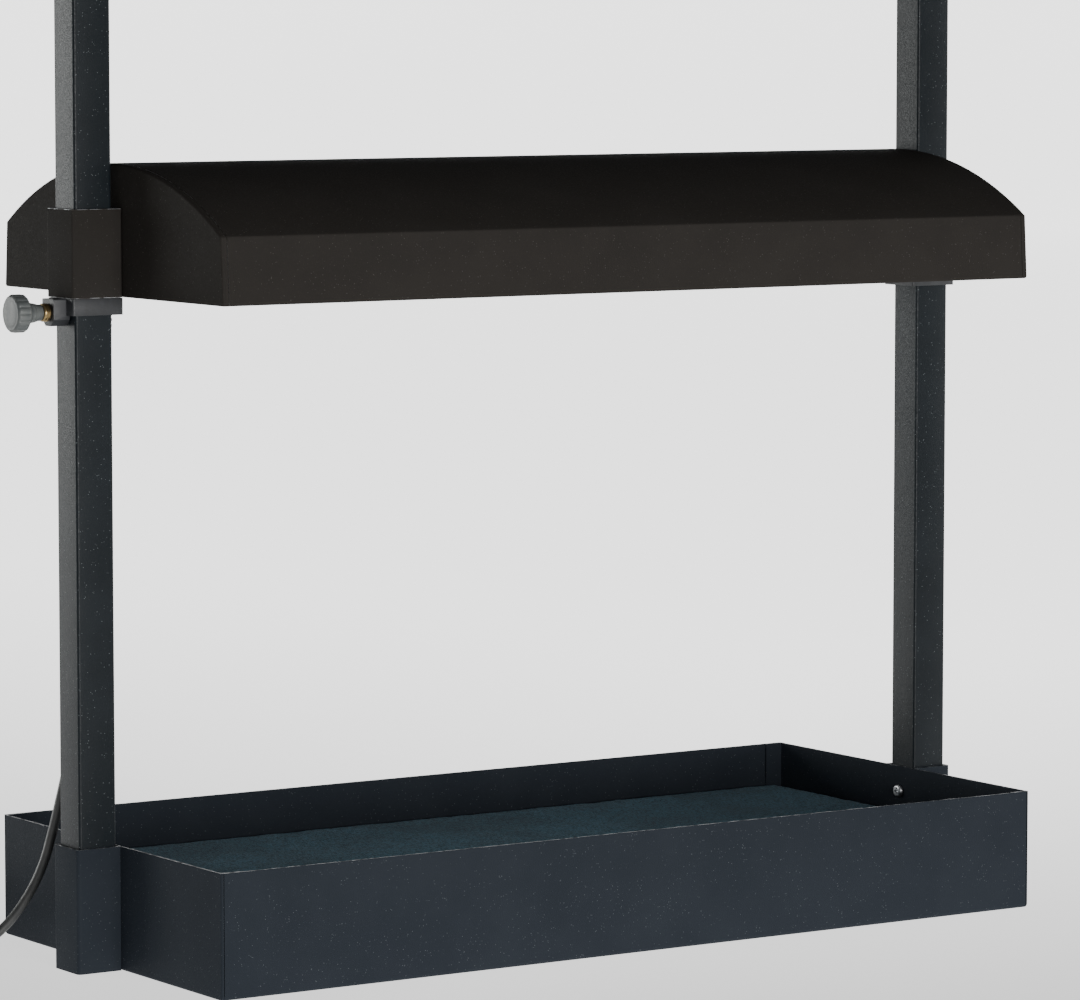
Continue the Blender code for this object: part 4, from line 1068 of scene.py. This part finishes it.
def make_clamp():
    """Nut, pad, stud and knob, turned about the clamp's axis, with heights out from the post's face."""
    seat = toward((-1, 0, 0), (-POST_FACE, 0, CLAMP_Z))
    nut = [(4.4, 17), (5.1, 16.8), (5.5, 16.3), (5.6, 15.8), (5.6, 15.2), (5.35, 14.9), (5.35, 14.6)]
    nut += [(5.6, 14.3), (5.6, 12.9), (5.2, 12.3), (4.0, 12.3), (4.0, 10.2), (3.7, 9.9), (3.7, 9.3)]
    nut += [(4.0, 9.0), (4.0, 5.4), (3.0, 5.4), (3.0, 16.4), (3.6, 17)]
    ring = turned("threaded_nut", millimetres(nut), 48, seat, closed=True)
    dress(ring, "brass", "hood", "clamp_nut")

    pad = [(0.4, 1.4), (2.1, 1.4), (2.2, 1.5), (2.2, 2.3), (3.6, 2.3), (4.3, 2.1), (4.6, 1.7)]
    pad += [(4.6, 0.8), (4.3, 0.3), (3.2, 0.3), (3.0, 0.5), (2.6, 0.5), (2.4, 0.3), (0.4, 0.3)]
    disc = turned("swivel_pad", millimetres(pad), 40, seat)
    dress(disc, "plastic", "pad", "clamp_pad")

    end = 33.6
    pitch = 0.8
    turns = 36
    stud = [(0.4, end), (2.0, end), (2.6, end - 0.6)]
    for i in range(turns):
        crest = end - 1 - i * pitch
        stud += [(2.7, crest), (2.35, crest - pitch / 2)]
    stud += [(2.3, 3.6), (1.9, 2.7), (1.9, 1.7), (0.4, 1.7)]
    rod = turned("threaded_stud", millimetres(stud), 32, seat)
    dress(rod, "zinc", "knob", "clamp_stud", angle=0.8)
    make_knob(seat)


def make_knob(seat):
    """A fluted knob: a ringed conical neck, and a smooth, nearly flat face with a shallow ring."""
    flutes = 16
    count = flutes * 10
    # Height, radius, and how deep the flutes are there
    stations = [(37.9, 0.3, 0), (37.9, 3, 0), (37.9, 6, 0), (37.75, 8.4, 0), (37.55, 9.1, 0)]
    stations += [(37.65, 9.5, 0), (37.55, 10, 0), (37.2, 10.7, 0.1), (36.7, 11.3, 0.35)]
    stations += [(36.0, 11.65, 0.6), (35.4, 11.7, 0.62), (30.2, 11.7, 0.62), (29.5, 11.5, 0.5)]
    stations += [(29.0, 11.1, 0.2), (28.7, 10.6, 0), (28.7, 7.6, 0), (28.3, 7.0, 0), (26.4, 6.6, 0)]
    stations += [(26.2, 6.2, 0), (25.7, 6.2, 0), (25.5, 6.5, 0), (23.4, 6.0, 0), (23.2, 5.6, 0)]
    stations += [(22.7, 5.6, 0), (22.5, 5.9, 0), (20.4, 5.4, 0), (20.2, 5.1, 0), (17.6, 5.0, 0)]
    stations += [(17.3, 4.8, 0), (17.3, 3.0, 0), (33.9, 3.0, 0)]
    rings = []
    for height, radius, depth in stations:
        ring = []
        for i in range(count):
            angle = 2 * pi * i / count
            wave = abs(sin(angle * flutes / 2)) ** 0.7
            reach = (radius - depth * (1 - wave)) * MM
            ring.append(seat @ Vector((reach * cos(angle), reach * sin(angle), height * MM)))
        rings.append(ring)
    knob = lofted("fluted_knob", rings)
    dress(knob, "knob", "knob", "clamp_knob", angle=0.6)


# The lamp


def make_reflector():
    """Folded white sheet: a flat middle, and two wings whose outer parts turn further down."""
    low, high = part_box("reflector")
    top = high.z - 0.3 * MM
    drop = high.z - HOOD
    corners = [(26 * MM, top), (78 * MM, top - drop + 62 * MM), (111.4 * MM, top - drop + 44.2 * MM)]
    path = [*[(-y, z) for y, z in corners[::-1]], *corners]
    sheet = extruded("reflector_sheet", [folded(path, 0.6 * MM, 3 * MM)], "X", low.x, high.x)
    cut(sheet, *[drill(CLIP_HOLE, 20 * MM, (0, 0, 1), (x, 0, high.z - 10 * MM)) for x in RIB_X.values()])
    dress(sheet, "reflector", "hood", "reflector", angle=0.3)


def make_housing():
    """A drawn channel with cooling grooves along its sides and its top."""
    depth = 0.6 * MM
    width = 1.6 * MM
    slope = 0.3 * MM
    flank = []
    for i in range(5):
        z = LAMP_LOW + 6 * MM + i * 3.6 * MM
        flank += [(LAMP_HALF, z), (LAMP_HALF - depth, z + slope)]
        flank += [(LAMP_HALF - depth, z + width - slope), (LAMP_HALF, z + width)]
    top = []
    for i in range(-3, 4):
        y = i * 4.6 * MM
        top += [(y - width / 2, LAMP_TOP), (y - width / 2 + slope, LAMP_TOP - depth)]
        top += [(y + width / 2 - slope, LAMP_TOP - depth), (y + width / 2, LAMP_TOP)]
    inside = LAMP_HALF - LAMP_WALL
    roof = LAMP_TOP - LAMP_WALL
    outline = [(-LAMP_HALF, LAMP_LOW), *[(-y, z) for y, z in flank], (-LAMP_HALF, LAMP_TOP - MM)]
    outline += [(-LAMP_HALF + MM, LAMP_TOP), *top, (LAMP_HALF - MM, LAMP_TOP)]
    outline += [(LAMP_HALF, LAMP_TOP - MM), *flank[::-1], (LAMP_HALF, LAMP_LOW)]
    outline += [(inside, LAMP_LOW), (inside, roof), (-inside, roof), (-inside, LAMP_LOW)]
    housing = extruded("lamp_extrusion", [outline], "X", LAMP_LEFT, LAMP_RIGHT)
    dress(housing, "aluminium", "hood", "lamp_housing", angle=0.3)


def make_board():
    """The LED board: a thin panel with two-part packages, small resistors and solder pads."""
    low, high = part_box("led_board")
    count = 22
    panel_low = high.z - 1.6 * MM
    length = LAMP_RIGHT - LAMP_LEFT
    pitch = (length - 20 * MM) / count
    panel = rectangle((high.x - low.x) / 2, high.y, 0.8 * MM, 3, ((low.x + high.x) / 2, 0))

    def add_block(bm, x, y, half_x, half_y, depth, index):
        rings = []
        for shrink, drop in ((0, -0.1 * MM), (0, depth * 0.7), (0.2 * MM, depth)):
            line = rectangle(half_x - shrink, half_y - shrink, 0.25 * MM, 1, (x, y))
            rings.append([bm.verts.new((a, b, panel_low - drop)) for a, b in line])
        faces = loop_walls(bm, rings[0], rings[1]) + loop_walls(bm, rings[1], rings[2])
        faces += [bm.faces.new(rings[0]), bm.faces.new(rings[2])]
        for face in faces:
            face.material_index = index

    board = extruded("led_panel", [panel], "Z", panel_low, high.z)
    bm = bmesh.new()
    bm.from_mesh(board.data)
    for i in range(count):
        x = LAMP_LEFT + 10 * MM + pitch * (i + 0.5)
        add_block(bm, x, 0, 2.5 * MM, 2.5 * MM, 0.55 * MM, 0)
        add_block(bm, x, 0, 1.9 * MM, 1.9 * MM, 0.7 * MM, 1)
        if i % 4 == 1:
            add_block(bm, x + pitch / 2, 9 * MM, 1.6 * MM, 0.8 * MM, 0.5 * MM, 0)
            add_block(bm, x + pitch / 2, -9 * MM, 1 * MM, 0.6 * MM, 0.45 * MM, 0)
    bmesh.ops.recalc_face_normals(bm, faces=bm.faces)
    kept = [face.material_index for face in bm.faces]
    bm.to_mesh(board.data)
    bm.free()
    dress(board, "board", "hood", "led_board")
    board.data.materials.append(LOOKS["phosphor"])
    for face, index in zip(board.data.polygons, kept):
        face.material_index = index


def make_driver():
    """The driver's case, with sloping edges."""
    low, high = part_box("led_driver")
    half_x = (high.x - low.x) / 2
    levels = [(1.2, low.z), (0, low.z + 1.2 * MM), (0, high.z - 2 * MM)]
    levels += [(0.6, high.z - 0.6 * MM), (1.4, high.z)]
    stations = [(half_x - shrink * MM, high.y - shrink * MM, height) for shrink, height in levels]
    rings = level_rings(stations, 2 * MM, 4, ((low.x + high.x) / 2, 0))
    dress(lofted("driver_case", rings), "board", "hood", "led_driver", angle=0.8)


def make_cover():
    """The frosted cover: a shallow arch with fine ridges inside it, and two lips up in the housing."""
    wall = 1.3 * MM
    sag = 5 * MM
    lip_half = LAMP_HALF - LAMP_WALL - GAP
    lip_top = LAMP_LOW + 3.6 * MM
    low = LAMP_LOW - GAP
    steps = 32

    def arch(width, drop, ripple):
        points = []
        for i in range(steps + 1):
            angle = pi * i / steps
            wave = ripple if i % 2 and 2 < i < steps - 2 else 0
            points.append((-width * cos(angle), low - drop * sin(angle) + wave))
        return points

    section = [(-lip_half, low), *arch(LAMP_HALF, sag, 0), (lip_half, low), (lip_half, lip_top)]
    section += [(lip_half - wall, lip_top), *arch(lip_half - wall, sag - wall, 0.35 * MM)[::-1]]
    section += [(-lip_half + wall, lip_top), (-lip_half, lip_top)]
    cover = extruded("frosted_cover", [section], "X", LAMP_LEFT, LAMP_RIGHT)
    dress(cover, "lens", "hood", "lamp_lens", angle=0.5)


def make_caps():
    """The lamp's moulded, grooved ends. The left one holds the switch and takes the lead."""
    for _, label in SIDES:
        low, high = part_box(f"lamp_cap_{label}")
        middle = (0, (low.z + high.z) / 2)
        half_z = (high.z - low.z) / 2
        outline = rectangle(high.y, half_z, 2.2 * MM, 6, middle)
        cap = extruded(f"lamp_end_{label}", [outline], "X", low.x, high.x)
        softened(cap, 0.8 * MM, 3, 1.0)
        cutters = []
        if label == "left":
            x = sum(span("switch_bezel", 0)) / 2
            room = rectangle(9.2 * MM, 6.2 * MM, 0.4 * MM, 2, (x, 0))
            cutters.append(extruded("room", [room], "Z", low.z - 5 * MM, low.z + 13 * MM))
            lead = (low.x - 6 * MM, 0, HOOD + 59 * MM)
            cutters.append(drill(CORD_RADIUS + GAP, 12 * MM, (1, 0, 0), lead))
        for i in range(3):
            x = low.x + (high.x - low.x) * (0.62 + 0.1 * i)
            groove = rectangle(high.y + MM, half_z + MM, 2.2 * MM, 6, middle)
            inner = rectangle(high.y - 0.4 * MM, half_z - 0.4 * MM, 1.8 * MM, 6, middle)
            cutters.append(extruded("groove", [groove, inner], "X", x - 0.4 * MM, x + 0.4 * MM))
        cut(cap, *cutters)
        dress(cap, "plastic", "hood", f"lamp_cap_{label}")


def make_bezel():
    """The switch's frame, with rounded edges round its mouth."""
    low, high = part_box("switch_bezel")
    depth = (high.z - low.z) / MM
    stations = [(0, 1.3), (0, 0.5), (0.5, 0), (2.2, 0), (2.8, 0.5), (2.8, depth), (1.7, depth)]
    stations.append((1.7, 1.4))
    rings = []
    for shrink, rise in stations:
        corner = max(1.4 - 0.4 * shrink, 0.3) * MM
        half_x = (high.x - low.x) / 2 - shrink * MM
        line = rectangle(half_x, high.y - shrink * MM, corner, 4, ((low.x + high.x) / 2, 0))
        rings.append([(a, b, low.z + rise * MM) for a, b in line])
    bezel = lofted("rocker_bezel", rings, closed=True)
    dress(bezel, "plastic", "hood", "switch_bezel")


def make_rocker():
    """The switch's rocker, with a ridged, hollowed back."""
    low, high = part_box("switch_bezel")
    pivot = Vector(((low.x + high.x) / 2, 0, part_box("lamp_cap_left")[0].z + 2 * MM))
    half_x = (high.x - low.x) / 2 - 3.6 * MM
    half_y = span("switch_rocker", 1)[1]
    tilt = 0.12
    rise = 3.4 * MM
    line = [(-half_x + 0.6 * MM, 2.5 * MM), (-half_x, -rise - tilt * half_x + 0.4 * MM)]
    line += [(-half_x + 0.4 * MM, -rise - tilt * half_x)]
    for i in range(1, 12):
        share = i / 12
        a = -half_x * (1 - 2 * share)
        ridge = 0.25 * MM if i % 2 and abs(share - 0.5) > 0.18 else 0
        line.append((a, -rise - tilt * abs(a) * 0.9 + ridge))
    line += [(half_x - 0.4 * MM, -rise - tilt * half_x), (half_x, -rise - tilt * half_x + 0.4 * MM)]
    line += [(half_x - 0.6 * MM, 2.5 * MM)]
    turn = Matrix.Translation(pivot) @ Matrix.Rotation(tilt, 4, "Y")
    rings = []
    for y in (-half_y, half_y):
        rings.append([turn @ Vector((a, y, b)) for a, b in line])
    rocker = softened(lofted("rocker", rings), 0.25 * MM, 2, 1.0)
    dress(rocker, "rubber", "switch", "switch_rocker")


def make_clip(label):
    """A spring clip, folded to a U over the lamp, and its pan-head screw up into the rib."""
    low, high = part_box(f"lamp_clip_{label}")
    sheet = 1 * MM
    half = high.y - sheet / 2
    top = high.z - sheet / 2
    path = [(-half, low.z), (-half, top), (half, top), (half, low.z)]
    clip = extruded(f"spring_clip_{label}", [folded(path, sheet, 0.9 * MM)], "X", low.x, high.x)
    x = RIB_X[label]
    cut(clip, drill(CLIP_HOLE, 8 * MM, (0, 0, 1), (x, 0, high.z - 4 * MM)))
    softened(clip, 0.15 * MM, 1)
    dress(clip, "zinc", "hood", f"lamp_clip_{label}")
    seat = toward((0, 0, -1), (x, 0, high.z - sheet - GAP))
    clip_screw = screw(
        f"screw_clip_{label}",
        seat,
        head_radius=3.8 * MM,
        head=1.8 * MM,
        shank=2.0 * MM,
        length=span(f"clip_screw_{label}", 2)[1] - seat.translation.z,
        dome=1.2 * MM,
        recess=1.9 * MM,
    )
    dress(clip_screw, "zinc", "hood", f"clip_screw_{label}")


def make_lead():
    """The lead from the strain relief up to the lamp's end cap."""
    cap = HOOD + 59 * MM
    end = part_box("lamp_cap_left")[0].x
    steps = [(0, 0, 7.3), (0, -1, 24), (1, -9, 41), (9, -22, 54)]
    stops = [GLAND + Vector(step) * MM for step in steps]
    stops += [Vector((GLAND.x + 20 * MM, MM, cap)), Vector((end + 4 * MM, 0, cap))]
    route = smooth_route(stops, 3 * MM)
    lead = swept("lead_to_lamp", route, CORD_RADIUS)
    dress(lead, "cord", "hood", "lamp_lead", angle=1.2)


# The studio


def make_floor():
    """A round floor whose far edge curves up into a low wall."""
    radius = 12
    bend = 1.2
    wall = 2.0
    profile = [(0.01, 0), (radius - bend, 0)]
    profile += [(radius - bend + bend * sin(a), bend * (1 - cos(a))) for a in (0.4, 0.8, 1.2, pi / 2)]
    profile.append((radius, wall))

    def build(bm):
        rings = []
        for reach, level in profile:
            rings.append([bm.verts.new((a, b, level)) for a, b in circle(reach, 96)])
        for first, second in zip(rings, rings[1:]):
            loop_walls(bm, first, second)
        bm.faces.new(rings[0])

    floor = made("studio_floor", build)
    floor.data.shade_smooth()
    floor.data.materials.append(LOOKS["floor"])


def soft_light(name, place, aim, size, power, colour=(1, 1, 1)):
    data = bpy.data.lights.new(name, "AREA")
    data.shape = "RECTANGLE"
    data.size, data.size_y = size
    data.energy = power
    data.color = colour
    light = bpy.data.objects.new(name, data)
    light.location = place
    light.rotation_euler = (Vector(aim) - Vector(place)).to_track_quat("-Z", "Y").to_euler()
    bpy.context.scene.collection.objects.link(light)


def make_studio():
    make_floor()
    world = bpy.data.worlds.new("studio_air")
    world.use_nodes = True
    shade = world.node_tree.nodes["Background"]
    shade.inputs["Color"].default_value = (0.93, 0.96, 1.0, 1)
    shade.inputs["Strength"].default_value = 0.12
    bpy.context.scene.world = world
    soft_light("window", (-2.1, 2.7, 0.5), (-0.3, 0, 0.35), (1.4, 1.4), 46, (0.97, 0.99, 0.97))
    soft_light("front_left", (-0.6, -3.6, 0.42), (-0.1, 0, 0.3), (1.1, 0.8), 106, (1.0, 0.985, 0.97))
    soft_light("front_right", (3.2, -0.9, 0.42), (0.2, 0, 0.2), (1.0, 0.8), 32, (1.0, 0.99, 0.985))


def make_camera():
    data = bpy.data.cameras.new("camera")
    data.sensor_width = 36
    data.lens = 177.2
    data.clip_end = 200
    camera = bpy.data.objects.new("camera", data)
    camera.location = (-1.857, -2.857, 0.591)
    camera.rotation_euler = (radians(90 - 5.32), 0, radians(-33.2))
    bpy.context.scene.collection.objects.link(camera)
    bpy.context.scene.camera = camera


def main():
    make_camera()
    LOOKS.update(make_looks())
    make_cord()
    make_pan()
    make_liner()
    make_deck()
    make_mat()
    make_shell()
    for side, label in SIDES:
        make_tray_end(side, label)
        make_socket(side, label)
        make_post(side, label)
        make_hood_end(side, label)
        make_sleeve(label)
        make_rib(label)
        make_clip(label)
    make_bush(-1, "clamp_bush", "clamp_bush_moulding", clamped=True)
    make_bush(1, "guide_bush", "guide_bush_moulding", clamped=False)
    make_clamp()
    make_reflector()
    make_housing()
    make_board()
    make_driver()
    make_cover()
    make_caps()
    make_bezel()
    make_rocker()
    make_lead()
    make_studio()


main()
